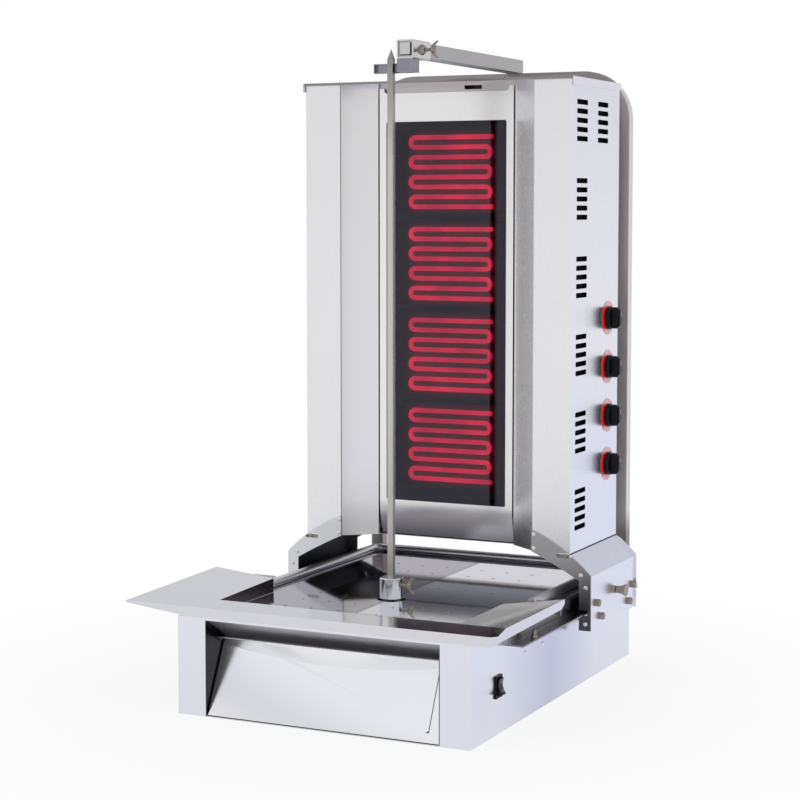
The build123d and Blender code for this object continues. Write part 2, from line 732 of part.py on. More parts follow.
def switch_frame():
    open_w = SWITCH_W - 4 * SWITCH_LIP
    open_h = SWITCH_H - 3 * SWITCH_LIP
    with BuildPart() as frame:
        with Locations((SIDE, y_at(SWITCH_Y), SWITCH_Z)):
            Box(SWITCH_T, SWITCH_W, SWITCH_H, align=(Align.MIN, Align.CENTER, Align.CENTER))
            Box(SWITCH_BODY, SWITCH_W - 2 * SWITCH_LIP - SLIDE_GAP, SWITCH_H - 2 * SWITCH_LIP - SLIDE_GAP,
                align=(Align.MAX, Align.CENTER, Align.CENTER))
        with Locations((SIDE + SWITCH_T, y_at(SWITCH_Y), SWITCH_Z)):
            Box(SWITCH_BODY, open_w, open_h, align=(Align.MAX, Align.CENTER, Align.CENTER),
                mode=Mode.SUBTRACT)
    return frame


def switch_rocker():
    width = SWITCH_W - 4 * SWITCH_LIP - 2 * SLIDE_GAP
    half = SWITCH_H / 2 - 2.5 * SWITCH_LIP
    tilt = math.radians(ROCKER_TILT)
    pivot = Plane(origin=(SIDE + SWITCH_T / 2, y_at(SWITCH_Y), SWITCH_Z),
                  x_dir=(math.cos(tilt), 0, math.sin(tilt)), z_dir=(0, -1, 0))
    with BuildPart() as rocker:
        with BuildSketch(pivot):
            with BuildLine():
                proud = ROCKER_PROUD * half
                Polyline((proud, half), (0, half), (-proud, proud), (-proud, -proud), (0, -half),
                         (proud, -half))
                ThreePointArc((proud, -half), (ROCKER_DISH * half, 0), (proud, half))
            make_face()
        extrude(amount=width / 2, both=True)
    return rocker


def cable_gland():
    upward = (Align.CENTER, Align.CENTER, Align.MIN)
    with BuildPart() as gland:
        with Locations(along_y(GLAND_X, BASE_D - 8 * SHEET, GLAND_Z, 1)):
            Cylinder(GLAND_R, 8 * SHEET, align=upward)
        with BuildSketch(Plane(origin=(GLAND_X, REAR, GLAND_Z), x_dir=(1, 0, 0), z_dir=(0, 1, 0))):
            RegularPolygon(GLAND_R + 3 * SHEET, 6)
        extrude(amount=4 * SHEET)
        with Locations(along_y(GLAND_X, BASE_D + 4 * SHEET, GLAND_Z, 1)):
            Cone(GLAND_R + SHEET, GLAND_R - SHEET, 8 * SHEET, align=upward)
        with Locations(along_y(GLAND_X, BASE_D, GLAND_Z, 1)):
            Cylinder(GLAND_BORE, 40 * SHEET, mode=Mode.SUBTRACT)
    return gland


# Rear frame, support arm and the sleeve that steadies the spindle

def arch(half, bottom, top, radius):
    """Upright outline with two round upper corners."""
    with BuildSketch() as outline:
        with BuildLine():
            FilletPolyline((-half, bottom), (-half, top), (half, top), (half, bottom), radius=radius)
            Line((half, bottom), (-half, bottom))
        make_face()
    return outline.sketch


def rear_frame():
    inner = SIDE - FRAME_FLANGE
    open_top = BASE_H + FRAME_OPEN_H
    with BuildPart() as frame:
        with BuildSketch(front_plane(FRAME_Y)):
            add(arch(SIDE, BASE_H, FRAME_TOP, FRAME_R))
        extrude(amount=-FRAME_DEPTH)
        with BuildSketch(front_plane(FRAME_Y + SHEET)):
            add(arch(SIDE - SHEET, BASE_H, FRAME_TOP - SHEET, FRAME_R - SHEET))
            with Locations((0, BASE_H)):
                Rectangle(2 * (inner + SHEET), 2 * (FRAME_OPEN_H + SHEET), mode=Mode.SUBTRACT)
        extrude(amount=2 * SHEET - FRAME_DEPTH, mode=Mode.SUBTRACT)
        with BuildSketch(front_plane(FRAME_Y)):
            add(arch(inner, open_top + FRAME_FLANGE, FRAME_TOP - FRAME_FLANGE, FRAME_R - FRAME_FLANGE))
        extrude(amount=-SHEET, mode=Mode.SUBTRACT)
        with BuildSketch(front_plane(FRAME_Y)):
            with Locations((0, BASE_H)):
                Rectangle(2 * inner, 2 * FRAME_OPEN_H)
        extrude(amount=-FRAME_DEPTH, mode=Mode.SUBTRACT)
    return frame


def support_arm():
    length = FRAME_Y + FRAME_DEPTH - ARM_FRONT
    with BuildPart() as arm:
        with BuildSketch(front_plane(ARM_FRONT)):
            with Locations((ARM_X, ARM_Z)):
                RectangleRounded(ARM_SQ, ARM_SQ, SHEET)
        extrude(amount=-length)
        with BuildSketch(front_plane(ARM_FRONT + ARM_WALL)):
            with Locations((ARM_X, ARM_Z)):
                Rectangle(ARM_SQ - 2 * ARM_WALL, ARM_SQ - 2 * ARM_WALL)
        extrude(amount=ARM_WALL - length, mode=Mode.SUBTRACT)
    return arm


def sleeve():
    with BuildPart() as collar:
        with BuildSketch(front_plane(SLEEVE_FRONT)):
            with Locations((ARM_X, ARM_Z)):
                RectangleRounded(2 * SLEEVE_HALF, 2 * SLEEVE_HALF, SLEEVE_WALL)
                Rectangle(ARM_SQ + 2 * BODY_GAP, ARM_SQ + 2 * BODY_GAP, mode=Mode.SUBTRACT)
        extrude(amount=-SLEEVE_LEN)
        with Locations(along_x(ARM_X, SLEEVE_FRONT + SLEEVE_LEN / 2, ARM_Z)):
            Cylinder(BOLT_R + SHAFT_GAP, SLEEVE_HALF + SHEET, align=(Align.CENTER, Align.CENTER, Align.MIN),
                     mode=Mode.SUBTRACT)
    return collar


def sleeve_nut():
    upward = (Align.CENTER, Align.CENTER, Align.MIN)
    with BuildPart() as nut:
        with Locations(along_x(ARM_X + SLEEVE_HALF, SLEEVE_FRONT + SLEEVE_LEN / 2, ARM_Z)):
            Cone(3 * BOLT_R, 2 * BOLT_R, 2 * BOLT_R, align=upward)
            Cylinder(BOLT_R + SHAFT_GAP, 2 * BOLT_R, align=upward, mode=Mode.SUBTRACT)
    return nut


def spindle_guide():
    top = ARM_Z - SLEEVE_HALF
    right = ARM_X - SLEEVE_HALF + GUIDE_W
    back = SPINDLE_SETBACK + GUIDE_BEHIND + GUIDE_DEEP
    bottom_aligned = (Align.MAX, Align.MIN, Align.MIN)
    with BuildPart() as guide:
        with Locations((right, y_at(SLEEVE_FRONT), GUIDE_BOTTOM)):
            Box(GUIDE_W, GUIDE_T, top - GUIDE_BOTTOM, align=bottom_aligned)
            Box(GUIDE_T, back - SLEEVE_FRONT, top - GUIDE_BOTTOM, align=bottom_aligned)
        with Locations((right, y_at(back - GUIDE_DEEP), GUIDE_BOTTOM)):
            Box(right - GUIDE_LEFT, GUIDE_DEEP, GUIDE_H, align=bottom_aligned)
        with Locations((right, y_at(back - GUIDE_DEEP), GUIDE_BOTTOM + SHEET)):
            Box(right - GUIDE_LEFT - SHEET, GUIDE_DEEP - SHEET, GUIDE_H - 2 * SHEET, align=bottom_aligned,
                mode=Mode.SUBTRACT)
        with Locations((right, y_at(SLEEVE_FRONT), GUIDE_BOTTOM)):
            Box(GUIDE_T, back - SLEEVE_FRONT, top - GUIDE_BOTTOM, align=bottom_aligned)
    return guide


# Heater housing

def side_wall(hand):
    with BuildPart() as wall:
        with BuildSketch(Plane.XY.offset(HOUSE_BOTTOM)):
            make_face(folded([(STRIP_INNER, y_at(HOUSE_FRONT)), (HOUSE_HALF, y_at(HOUSE_FRONT)),
                              (HOUSE_HALF, y_at(HOUSE_REAR)),
                              (HOUSE_HALF - REAR_FLANGE, y_at(HOUSE_REAR))], hand))
        extrude(amount=HOUSE_TOP - HOUSE_BOTTOM)
        slots = [(y_at(SLOT_Y), SLOT_TOP_Z - group * SLOT_GROUP_PITCH - row * SLOT_PITCH)
                 for group in range(SLOT_GROUPS) for row in range(SLOTS_IN_GROUP)]
        slots += [(y_at(SLOT_REAR_Y), SLOT_TOP_Z - row * SLOT_PITCH) for row in range(SLOTS_IN_GROUP)]
        with BuildSketch(side_plane(hand * HOUSE_HALF)):
            with Locations(*slots):
                RectangleRounded(SLOT_L, SLOT_H, SLOT_R)
            if hand > 0:
                with Locations(*[(y_at(KNOB_Y), knob_z(index)) for index in range(ZONES)]):
                    Circle(STEM_R + 2 * SLIDE_GAP)
        extrude(amount=2 * SHEET, both=True, mode=Mode.SUBTRACT)
    return wall


def reflector(hand):
    behind = HOUSE_FRONT + SHEET + SHAFT_GAP
    with BuildPart() as sheet:
        with BuildSketch(Plane.XY.offset(HOUSE_BOTTOM + SHEET)):
            make_face(folded([(PANEL_HALF, y_at(PANEL_Y + 8 * SHEET)), (PANEL_HALF, y_at(PANEL_Y)),
                              (STRIP_INNER - SHEET, y_at(behind)),
                              (STRIP_INNER + 8 * SHEET, y_at(behind))], hand))
        extrude(amount=HOUSE_TOP - HOUSE_BOTTOM - SHEET)
    return sheet


def heater_panel():
    half = PANEL_HALF - PANEL_GAP
    with BuildPart() as panel:
        with BuildSketch(side_plane(-half)):
            with BuildLine():
                Line((y_at(PANEL_Y), PANEL_TOP), (y_at(PANEL_Y), SCOOP_TOP))
                TangentArc((y_at(PANEL_Y), SCOOP_TOP), (y_at(PANEL_Y + SCOOP_DEPTH), PANEL_BOTTOM), tangent=(0, -1))
                offset(amount=SHEET, kind=Kind.INTERSECTION, side=Side.LEFT)
            make_face()
        extrude(amount=2 * half)
        with BuildSketch(front_plane(PANEL_Y)):
            with Locations((0, (GLASS_BOTTOM + GLASS_TOP) / 2)):
                RectangleRounded(GLASS_W + 2 * SLIDE_GAP, GLASS_TOP - GLASS_BOTTOM + 2 * SLIDE_GAP, GLASS_R)
            with Locations((0, PANEL_TOP)):
                RectangleRounded(2 * NOTCH_HALF, 2 * NOTCH_H, NOTCH_R)
        extrude(amount=-4 * SHEET, mode=Mode.SUBTRACT)
    return panel


def glass_panel():
    with BuildPart() as glass:
        with BuildSketch(front_plane(PANEL_Y)):
            with Locations((0, (GLASS_BOTTOM + GLASS_TOP) / 2)):
                RectangleRounded(GLASS_W, GLASS_TOP - GLASS_BOTTOM, GLASS_R)
        extrude(amount=-GLASS_T)
    return glass


def heating_coil(index):
    bend = COIL_PITCH / 2
    reach = COIL_HALF - bend - COIL_R
    top = zone_z(index) + COIL_PITCH * (COIL_RUNS - 1) / 2
    with BuildPart() as coil:
        with BuildLine(front_plane(COIL_Y)):
            for run in range(COIL_RUNS):
                z = top - run * COIL_PITCH
                side = -1 if run % 2 == 0 else 1
                right = COIL_HALF if run in (0, COIL_RUNS - 1) else reach
                Line((-side * right if run == 0 else -side * reach, z),
                     (side * right if run == COIL_RUNS - 1 else side * reach, z))
                if run < COIL_RUNS - 1:
                    ThreePointArc((side * reach, z), (side * (reach + bend), z - bend),
                                  (side * reach, z - COIL_PITCH))
        with BuildSketch(Plane(origin=(COIL_HALF, y_at(COIL_Y), top), z_dir=(-1, 0, 0))):
            Circle(COIL_R)
        sweep()
    return coil


def insulation_trays():
    front = COIL_Y + COIL_R + SHAFT_GAP
    with BuildPart() as trays:
        with Locations(*[(0, y_at(front), zone_z(index)) for index in range(ZONES)]):
            Box(INSULATION_W, INSULATION_D, INSULATION_H, align=(Align.CENTER, Align.MIN, Align.CENTER))
    return trays


def element_carrier():
    half = HOUSE_HALF - SHEET
    bottom = HOUSE_BOTTOM + 2 * SHEET
    with BuildPart() as carrier:
        with Locations((0, y_at(CARRIER_Y), bottom)):
            Box(2 * half, SHEET, HOUSE_TOP - ROOF_LIP - bottom, align=(Align.CENTER, Align.MIN, Align.MIN))
    return carrier


def housing_back():
    with BuildPart() as back:
        with Locations((0, y_at(HOUSE_REAR - SHEET), HOUSE_BOTTOM + SHEET)):
            Box(2 * (HOUSE_HALF - SHEET), SHEET, HOUSE_TOP - HOUSE_BOTTOM - SHEET,
                align=(Align.CENTER, Align.MAX, Align.MIN))
    return back


def housing_floor():
    front = PANEL_Y + SCOOP_DEPTH + 2 * SHEET
    with BuildPart() as floor:
        with Locations((0, y_at(front), HOUSE_BOTTOM)):
            Box(2 * (HOUSE_HALF - SHEET), HOUSE_REAR - SHEET - front, SHEET,
                align=(Align.CENTER, Align.MIN, Align.MIN))
    return floor


def top_cover():
    half = HOUSE_HALF + ROOF_OVER
    front = HOUSE_FRONT - ROOF_FRONT
    rear = HOUSE_REAR + ROOF_LIP
    bottom_aligned = (Align.CENTER, Align.MIN, Align.MIN)
    with BuildPart() as roof:
        with Locations((0, y_at(front), HOUSE_TOP)):
            Box(2 * half, rear - front, SHEET, align=bottom_aligned)
        with Locations((0, y_at(front), HOUSE_TOP - ROOF_LIP)):
            Box(2 * half, SHEET, ROOF_LIP, align=bottom_aligned)
        with BuildSketch(side_plane(half)):
            with BuildLine():
                Polyline((y_at(front), HOUSE_TOP), (y_at(front), HOUSE_TOP - ROOF_SKIRT),
                         (y_at(rear), HOUSE_TOP - 0.75 * ROOF_SKIRT), (y_at(rear), HOUSE_TOP), close=True)
            make_face()
        extrude(amount=-SHEET)
        mirror(about=Plane.YZ)
        strip_y = PANEL_Y + 4 * SHEET
        with Locations((0, y_at(strip_y), HOUSE_TOP - TOP_STRIP_H)):
            Box(2 * (PANEL_HALF - SLIDE_GAP), SHEET, TOP_STRIP_H, align=bottom_aligned)
        with Locations((TOP_SLOT_X, y_at(strip_y), PANEL_TOP - SHEET)):
            Box(TOP_SLOT_W, 4 * SHEET, TOP_SLOT_H, align=(Align.CENTER, Align.CENTER, Align.CENTER),
                mode=Mode.SUBTRACT)
    return roof


# Power knobs and what is behind them

def energy_regulators():
    stem = SHEET + DISC_T + BODY_GAP + STEM_IN_KNOB - SLIDE_GAP
    with BuildPart() as regulators:
        with Locations(*[along_x(HOUSE_HALF - SHEET, KNOB_Y, knob_z(index)) for index in range(ZONES)]):
            Box(REGULATOR_SQ, REGULATOR_SQ, REGULATOR_D, align=(Align.CENTER, Align.CENTER, Align.MAX))
            Cylinder(STEM_R, stem, align=(Align.CENTER, Align.CENTER, Align.MIN))
    return regulators


def knob_discs():
    with BuildPart() as discs:
        with Locations(*[along_x(HOUSE_HALF, KNOB_Y, knob_z(index)) for index in range(ZONES)]):
            Cylinder(DISC_R, DISC_T, align=(Align.CENTER, Align.CENTER, Align.MIN))
            Cylinder(STEM_R + 2 * SLIDE_GAP, DISC_T, align=(Align.CENTER, Align.CENTER, Align.MIN),
                     mode=Mode.SUBTRACT)
    return discs


def knob(index):
    base_x = HOUSE_HALF + DISC_T + BODY_GAP
    upward = (Align.CENTER, Align.CENTER, Align.MIN)
    place = along_x(base_x, KNOB_Y, knob_z(index))
    with BuildPart() as grip:
        with Locations(place):
            Cylinder(KNOB_R, KNOB_SKIRT, align=upward)
        with BuildSketch(Plane(origin=(base_x + KNOB_SKIRT, y_at(KNOB_Y), knob_z(index)), x_dir=(0, 1, 0),
                               z_dir=(1, 0, 0))):
            Circle(KNOB_R - SHEET)
            with Locations((GRIP_W / 2, 0)):
                Rectangle(2 * KNOB_R, 2 * KNOB_R, align=(Align.MIN, Align.CENTER), mode=Mode.SUBTRACT)
        extrude(amount=KNOB_H - KNOB_SKIRT)
        fillet(grip.edges().group_by(Axis.X)[-1], SHEET)
        with Locations(place):
            Cylinder(STEM_R + SHAFT_GAP, STEM_IN_KNOB, align=upward, mode=Mode.SUBTRACT)
    return grip


# Carriage

def bracket_outline(hand):
    top = HOUSE_BOTTOM + BRACKET_EAR
    inner = STRIP_INNER - SHEET
    outer = COVER_X + BRACKET_LIP
    foot = outer - BRACKET_FOOT_W
    shoulder = COVER_SHOULDER + BRACKET_LIP
    neck = shoulder - BRACKET_NECK
    low = HOUSE_BOTTOM + SHEET
    with BuildSketch() as outline:
        with BuildLine():
            Line((hand * inner, low), (hand * inner, top))
            Line((hand * inner, top), (hand * (inner + BRACKET_EAR_W), top))
            ThreePointArc((hand * (inner + BRACKET_EAR_W), top),
                          (hand * (inner + outer) / 2, (top + shoulder) / 2 + BRACKET_CROWN),
                          (hand * outer, shoulder))
            Polyline((hand * outer, shoulder), (hand * outer, COVER_BOTTOM), (hand * foot, COVER_BOTTOM),
                     (hand * foot, neck))
            ThreePointArc((hand * foot, neck), (hand * (foot + inner) / 2, (neck + low) / 2 + BRACKET_ARCH),
                          (hand * inner, low))
        make_face()
        with Locations((hand * (HOUSE_HALF - BRACKET_SLOT_INSET), HOUSE_BOTTOM - ANGLE_NOTCH)):
            SlotOverall(BRACKET_SLOT_L, BRACKET_SLOT_H, mode=Mode.SUBTRACT)
        with Locations((hand * foot, ANGLE_Z - ANGLE_NOTCH)):
            Rectangle(2 * (SIDE + ANGLE_OUT + ANGLE_NOTCH - foot), ANGLE_T + 3 * ANGLE_NOTCH,
                      align=(Align.CENTER, Align.MIN), mode=Mode.SUBTRACT)
    return outline.sketch


def bracket(hand):
    with BuildPart() as plate:
        with BuildSketch(front_plane(HOUSE_FRONT)):
            add(bracket_outline(hand))
        extrude(amount=BRACKET_T)
    return plate


def rear_brackets():
    with BuildPart() as plates:
        for hand in (-1, 1):
            with BuildSketch(front_plane(HOUSE_REAR)):
                add(bracket_outline(hand))
            extrude(amount=-BRACKET_T)
    return plates


def side_cover(hand):
    with BuildPart() as cover:
        with BuildSketch(front_plane(HOUSE_FRONT)):
            make_face(folded([(COVER_X, COVER_BOTTOM), (COVER_X, COVER_SHOULDER),
                              (HOUSE_HALF + SHEET / 2, HOUSE_BOTTOM)], hand))
        extrude(amount=HOUSE_FRONT - HOUSE_REAR)
        with Locations(along_x(hand * COVER_X, CLAMP_Y, CLAMP_Z)):
            if hand > 0:
                Cylinder(CLAMP_R + SHAFT_GAP, 4 * SHEET, mode=Mode.SUBTRACT)
    return cover


def pad_places():
    above = ANGLE_Z + ANGLE_T + BODY_GAP + PAD_R
    below = ANGLE_Z - BODY_GAP - PAD_R
    return [(PAD_FRONT, above), (PAD_FRONT + PAD_STAGGER, below), (PAD_REAR - PAD_STAGGER, below),
            (PAD_REAR, above)]


def glide_pads():
    with BuildPart() as pads:
        for hand in (-1, 1):
            inside = hand * (COVER_X - SHEET)
            with Locations(*[along_x(inside, distance, z, -hand) for distance, z in pad_places()]):
                Cylinder(PAD_R, PAD_L, align=(Align.CENTER, Align.CENTER, Align.MIN))
    return pads


def dome_nuts():
    upward = (Align.CENTER, Align.CENTER, Align.MIN)
    with BuildPart() as nuts:
        for hand in (-1, 1):
            with Locations(*[along_x(hand * COVER_X, distance, z, hand) for distance, z in pad_places()]):
                Cylinder(NUT_R, NUT_H, align=upward)
        fillet(nuts.edges().filter_by(GeomType.CIRCLE).group_by(Axis.X)[-1], SHEET)
        fillet(nuts.edges().filter_by(GeomType.CIRCLE).group_by(Axis.X)[0], SHEET)
    return nuts


def bracket_screws():
    inner = STRIP_INNER + BRACKET_LIP
    outer = COVER_X - 2 * BRACKET_LIP
    spots = [(inner, HOUSE_BOTTOM + EAR_SCREW_RISE), (inner, HOUSE_BOTTOM + EAR_LOW_SCREW_RISE),
             (outer - SHOULDER_SCREW_INSET, COVER_SHOULDER + BRACKET_LIP),
             (outer, COVER_SHOULDER - SIDE_SCREW_DROP), (outer, COVER_BOTTOM + FOOT_SCREW_RISE)]
    with BuildPart() as screws:
        for hand in (-1, 1):
            places = [along_y(hand * x, HOUSE_FRONT - BRACKET_T, z, -1) for x, z in spots]
            places += [along_y(hand * x, HOUSE_REAR + BRACKET_T, z, 1) for x, z in spots]
            with Locations(*places):
                Cylinder(SCREW_HEAD_R, SCREW_HEAD_H, align=(Align.CENTER, Align.CENTER, Align.MIN))
    return screws


def clamp_knob():
    upward = (Align.CENTER, Align.CENTER, Align.MIN)
    tip = SIDE + ANGLE_T + SLIDE_GAP
    neck = COVER_X + SLIDE_GAP
    with BuildPart() as knob_part:
        with Locations(along_x(tip, CLAMP_Y, CLAMP_Z)):
            Cylinder(CLAMP_R, neck - tip, align=upward)
        with Locations(along_x(neck, CLAMP_Y, CLAMP_Z)):
            Cone(CLAMP_FOOT_R, CLAMP_WAIST_R, CLAMP_STEM_L, align=upward)
        with Locations(along_x(neck + CLAMP_STEM_L, CLAMP_Y, CLAMP_Z)):
            Cone(CLAMP_WAIST_R, CLAMP_HEAD_R, CLAMP_FLARE_L, align=upward)
        fillet(knob_part.edges().group_by(Axis.X)[-1], SHEET)
    return knob_part


pieces = {
    "base_shell": base_shell(),
    "base_floor": base_floor(),
    "front_cove": front_cove(),
    "drawer_runners": drawer_runners(),
    "drawer_pan": drawer_pan(),
    "drawer_front": drawer_front(),
    "tray": tray(),
    "pan_left": pan(-1),
    "pan_right": pan(1),
    "motor_bridge": motor_bridge(),
    "gear_motor": gear_motor(),
    "bearing_block": bearing_block(),
    "drive_shaft": drive_shaft(),
    "hub": hub(),
    "hub_wing_bolt": wing_bolt(SPINDLE_SQ / 2 + SLIDE_GAP, HUB_R + 4 * BOLT_R, SPINDLE_SETBACK,
                               HUB_TOP - BOLT_DROP),
    "spindle": spindle(),
    "u_rail": u_rail(),
    "rail_end_plates": rail_end_plates(),
    "slide_angle_left": slide_angle(-1),
    "slide_angle_right": slide_angle(1),
    "base_fasteners": base_fasteners(),
    "switch_frame": switch_frame(),
    "switch_rocker": switch_rocker(),
    "cable_gland": cable_gland(),
    "rear_frame": rear_frame(),
    "support_arm": support_arm(),
    "sleeve": sleeve(),
    "sleeve_nut": sleeve_nut(),
    "sleeve_wing_bolt": wing_bolt(ARM_X + ARM_SQ / 2 + SLIDE_GAP, SLEEVE_WALL + 8 * BOLT_R,
                                  SLEEVE_FRONT + SLEEVE_LEN / 2, ARM_Z),
    "spindle_guide": spindle_guide(),
    "side_wall_left": side_wall(-1),
    "side_wall_right": side_wall(1),
    "reflector_left": reflector(-1),
    "reflector_right": reflector(1),
    "heater_panel": heater_panel(),
    "glass_panel": glass_panel(),
    "insulation_trays": insulation_trays(),
    "element_carrier": element_carrier(),
    "housing_back": housing_back(),
    "housing_floor": housing_floor(),
    "top_cover": top_cover(),
    "energy_regulators": energy_regulators(),
    "knob_discs": knob_discs(),
    "bracket_left": bracket(-1),
    "bracket_right": bracket(1),
    "rear_brackets": rear_brackets(),
    "side_cover_left": side_cover(-1),
    "side_cover_right": side_cover(1),
    "glide_pads": glide_pads(),
    "dome_nuts": dome_nuts(),
    "bracket_screws": bracket_screws(),
    "clamp_knob": clamp_knob(),
}
for number in range(ZONES):
    pieces[f"heating_coil_{number + 1}"] = heating_coil(number)
    pieces[f"knob_{number + 1}"] = knob(number)

for name, piece in pieces.items():
    save(piece, name)
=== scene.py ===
import math

import bpy
from mathutils import Matrix, Vector


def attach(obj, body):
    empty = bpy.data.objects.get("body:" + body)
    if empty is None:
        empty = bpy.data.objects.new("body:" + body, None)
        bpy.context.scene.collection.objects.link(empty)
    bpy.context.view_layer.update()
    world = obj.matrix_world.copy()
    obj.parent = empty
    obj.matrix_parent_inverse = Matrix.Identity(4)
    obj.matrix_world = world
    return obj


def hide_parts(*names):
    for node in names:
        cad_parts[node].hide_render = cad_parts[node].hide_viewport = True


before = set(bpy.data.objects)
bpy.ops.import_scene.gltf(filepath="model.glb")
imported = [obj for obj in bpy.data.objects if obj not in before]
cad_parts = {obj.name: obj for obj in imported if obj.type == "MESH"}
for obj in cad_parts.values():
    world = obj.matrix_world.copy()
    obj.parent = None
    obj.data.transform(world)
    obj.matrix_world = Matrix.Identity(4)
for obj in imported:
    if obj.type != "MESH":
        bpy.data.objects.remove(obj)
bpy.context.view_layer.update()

# Places in the part's frame, in metres. Y is the distance behind the cabinet's front less SETBACK.
SETBACK = 0.259
MM = 0.001
FLOOR_SIZE = 9.0
ZONES = 4

# Height of the lowest power knob's middle, and the step up to the next one
KNOB_FIRST = 0.3678
KNOB_PITCH = 0.0866

# Degrees between two faces beyond which a sheet's edge is a fold or a cut
FOLD_ANGLE = 28


def y_at(distance):
    """Y of a place measured back from the cabinet's front face, in millimetres."""
    return distance * MM - SETBACK


# Picking and transforming, as by hand

def pick(*things):
    """Selects only these objects, the first one active."""
    if bpy.context.object and bpy.context.object.mode == "EDIT":
        bpy.ops.object.mode_set(mode="OBJECT")
    bpy.ops.object.select_all(action="DESELECT")
    for thing in things:
        thing.select_set(True)
    bpy.context.view_layer.objects.active = things[0]


def settle(thing):
    """Puts a finished object's place into its mesh, so that its own origin is the part's."""
    pick(thing)
    bpy.ops.object.transform_apply(location=True, rotation=True, scale=True)


def use_modifier(thing, kind, **values):
    """Adds a modifier with these values and applies it."""
    pick(thing)
    modifier = thing.modifiers.new(kind.title(), kind)
    for key, value in values.items():
        setattr(modifier, key, value)
    bpy.ops.object.modifier_apply(modifier=modifier.name)


def close_up(thing):
    """Merges the doubles of a mesh and turns its faces outwards."""
    pick(thing)
    bpy.ops.object.mode_set(mode="EDIT")
    bpy.ops.mesh.select_all(action="SELECT")
    bpy.ops.mesh.remove_doubles(threshold=0.00002)
    bpy.ops.mesh.normals_make_consistent(inside=False)
    bpy.ops.object.mode_set(mode="OBJECT")


def shade(thing, degrees):
    """Smooth shading, with the edges sharper than so many degrees kept sharp."""
    pick(thing)
    bpy.ops.object.shade_smooth_by_angle(angle=math.radians(degrees))


def joined(name, things):
    pick(*things)
    if len(things) > 1:
        bpy.ops.object.join()
    things[0].name = name
    return things[0]


def finished(thing, name, body, material, nodes=()):
    """Names a piece, gives it its finish and says what it rides on and which nodes it stands for."""
    thing.name = name
    thing.data.name = name
    if material is not None:
        thing.data.materials.clear()
        thing.data.materials.append(material)
    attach(thing, body)
    if nodes:
        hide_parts(*nodes)
    return thing


def softened(node, radius, segments=2):
    """A copy of a folded or cut piece with its tessellation cleaned and its edges rounded off."""
    pick(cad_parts[node])
    bpy.ops.object.duplicate(linked=False)
    piece = bpy.context.object
    piece.parent = None
    for key in list(piece.keys()):
        del piece[key]
    bpy.ops.object.mode_set(mode="EDIT")
    bpy.ops.mesh.select_all(action="SELECT")
    bpy.ops.mesh.remove_doubles(threshold=0.00001)
    bpy.ops.mesh.dissolve_limited(angle_limit=math.radians(0.6))
    bpy.ops.object.mode_set(mode="OBJECT")
    if radius:
        use_modifier(piece, "BEVEL", width=radius, segments=segments, limit_method="ANGLE",
                     angle_limit=math.radians(FOLD_ANGLE), use_clamp_overlap=True)
    shade(piece, FOLD_ANGLE)
    use_modifier(piece, "WEIGHTED_NORMAL", weight=100, keep_sharp=True)
    return piece


def turned(steps, start, axis, sides):
    """A lathe-turned solid that rises along an axis from a start.

    Each step is the next radius and height, in millimetres."""
    bpy.ops.object.select_all(action="DESELECT")
    radius, height = steps[0]
    bpy.ops.mesh.primitive_circle_add(vertices=sides, radius=radius * MM, fill_type="NGON",
                                      location=(0, 0, height * MM))
    piece = bpy.context.object
    settle(piece)
    bpy.ops.object.mode_set(mode="EDIT")
    bpy.ops.mesh.select_mode(type="FACE")
    bpy.ops.mesh.select_all(action="SELECT")
    bpy.ops.mesh.flip_normals()
    for next_radius, next_height in steps[1:]:
        rise = (next_height - height) * MM
        bpy.ops.mesh.extrude_region_move(TRANSFORM_OT_translate={"value": (0, 0, rise)})
        factor = next_radius / radius
        bpy.ops.transform.resize(value=(factor, factor, 1), center_override=(0, 0, 0))
        radius, height = next_radius, next_height
    bpy.ops.object.mode_set(mode="OBJECT")
    close_up(piece)
    turn = Vector((0, 0, 1)).rotation_difference(Vector(axis))
    piece.matrix_world = Matrix.Translation(start) @ turn.to_matrix().to_4x4()
    settle(piece)
    return piece


def block(low, high, radius=0.0, segments=2):
    """A block between two corners, in metres, with its edges rounded off."""
    bpy.ops.object.select_all(action="DESELECT")
    centre = [(a + b) / 2 for a, b in zip(low, high)]
    bpy.ops.mesh.primitive_cube_add(size=1, location=centre)
    piece = bpy.context.object
    piece.scale = [b - a for a, b in zip(low, high)]
    settle(piece)
    if radius:
        use_modifier(piece, "BEVEL", width=radius, segments=segments, limit_method="ANGLE")
    return piece


def copies(piece, places):
    """One copy of a piece for each 4x4 matrix, each with its own mesh."""
    made = []
    for place in places:
        pick(piece)
        bpy.ops.object.duplicate(linked=False)
        twin = bpy.context.object
        twin.matrix_world = place
        settle(twin)
        made.append(twin)
    pick(piece)
    bpy.ops.object.delete()
    return made


def facing(at, axis):
    """The matrix that puts a piece made along +Z at a place, along an axis."""
    turn = Vector((0, 0, 1)).rotation_difference(Vector(axis))
    return Matrix.Translation(at) @ turn.to_matrix().to_4x4()


# Shared effects, each a node group that gives values which change over the surface

def new_group(name, inputs, outputs):
    group = bpy.data.node_groups.new(name, "ShaderNodeTree")
    for label, kind, default in inputs:
        socket = group.interface.new_socket(name=label, in_out="INPUT", socket_type=kind)
        socket.default_value = default
    for label, kind in outputs:
        group.interface.new_socket(name=label, in_out="OUTPUT", socket_type=kind)
    enter = group.nodes.new("NodeGroupInput")
    leave = group.nodes.new("NodeGroupOutput")
    return group, enter, leave


def node_in(tree, kind, **values):
    node = tree.nodes.new(kind)
    for key, value in values.items():
        setattr(node, key, value)
    return node


def math_in(tree, operation, first, second=None):
    node = node_in(tree, "ShaderNodeMath", operation=operation)
    for index, value in enumerate((first, second)):
        if value is None:
            continue
        if isinstance(value, (int, float)):
            node.inputs[index].default_value = value
        else:
            tree.links.new(value, node.inputs[index])
    return node.outputs[0]


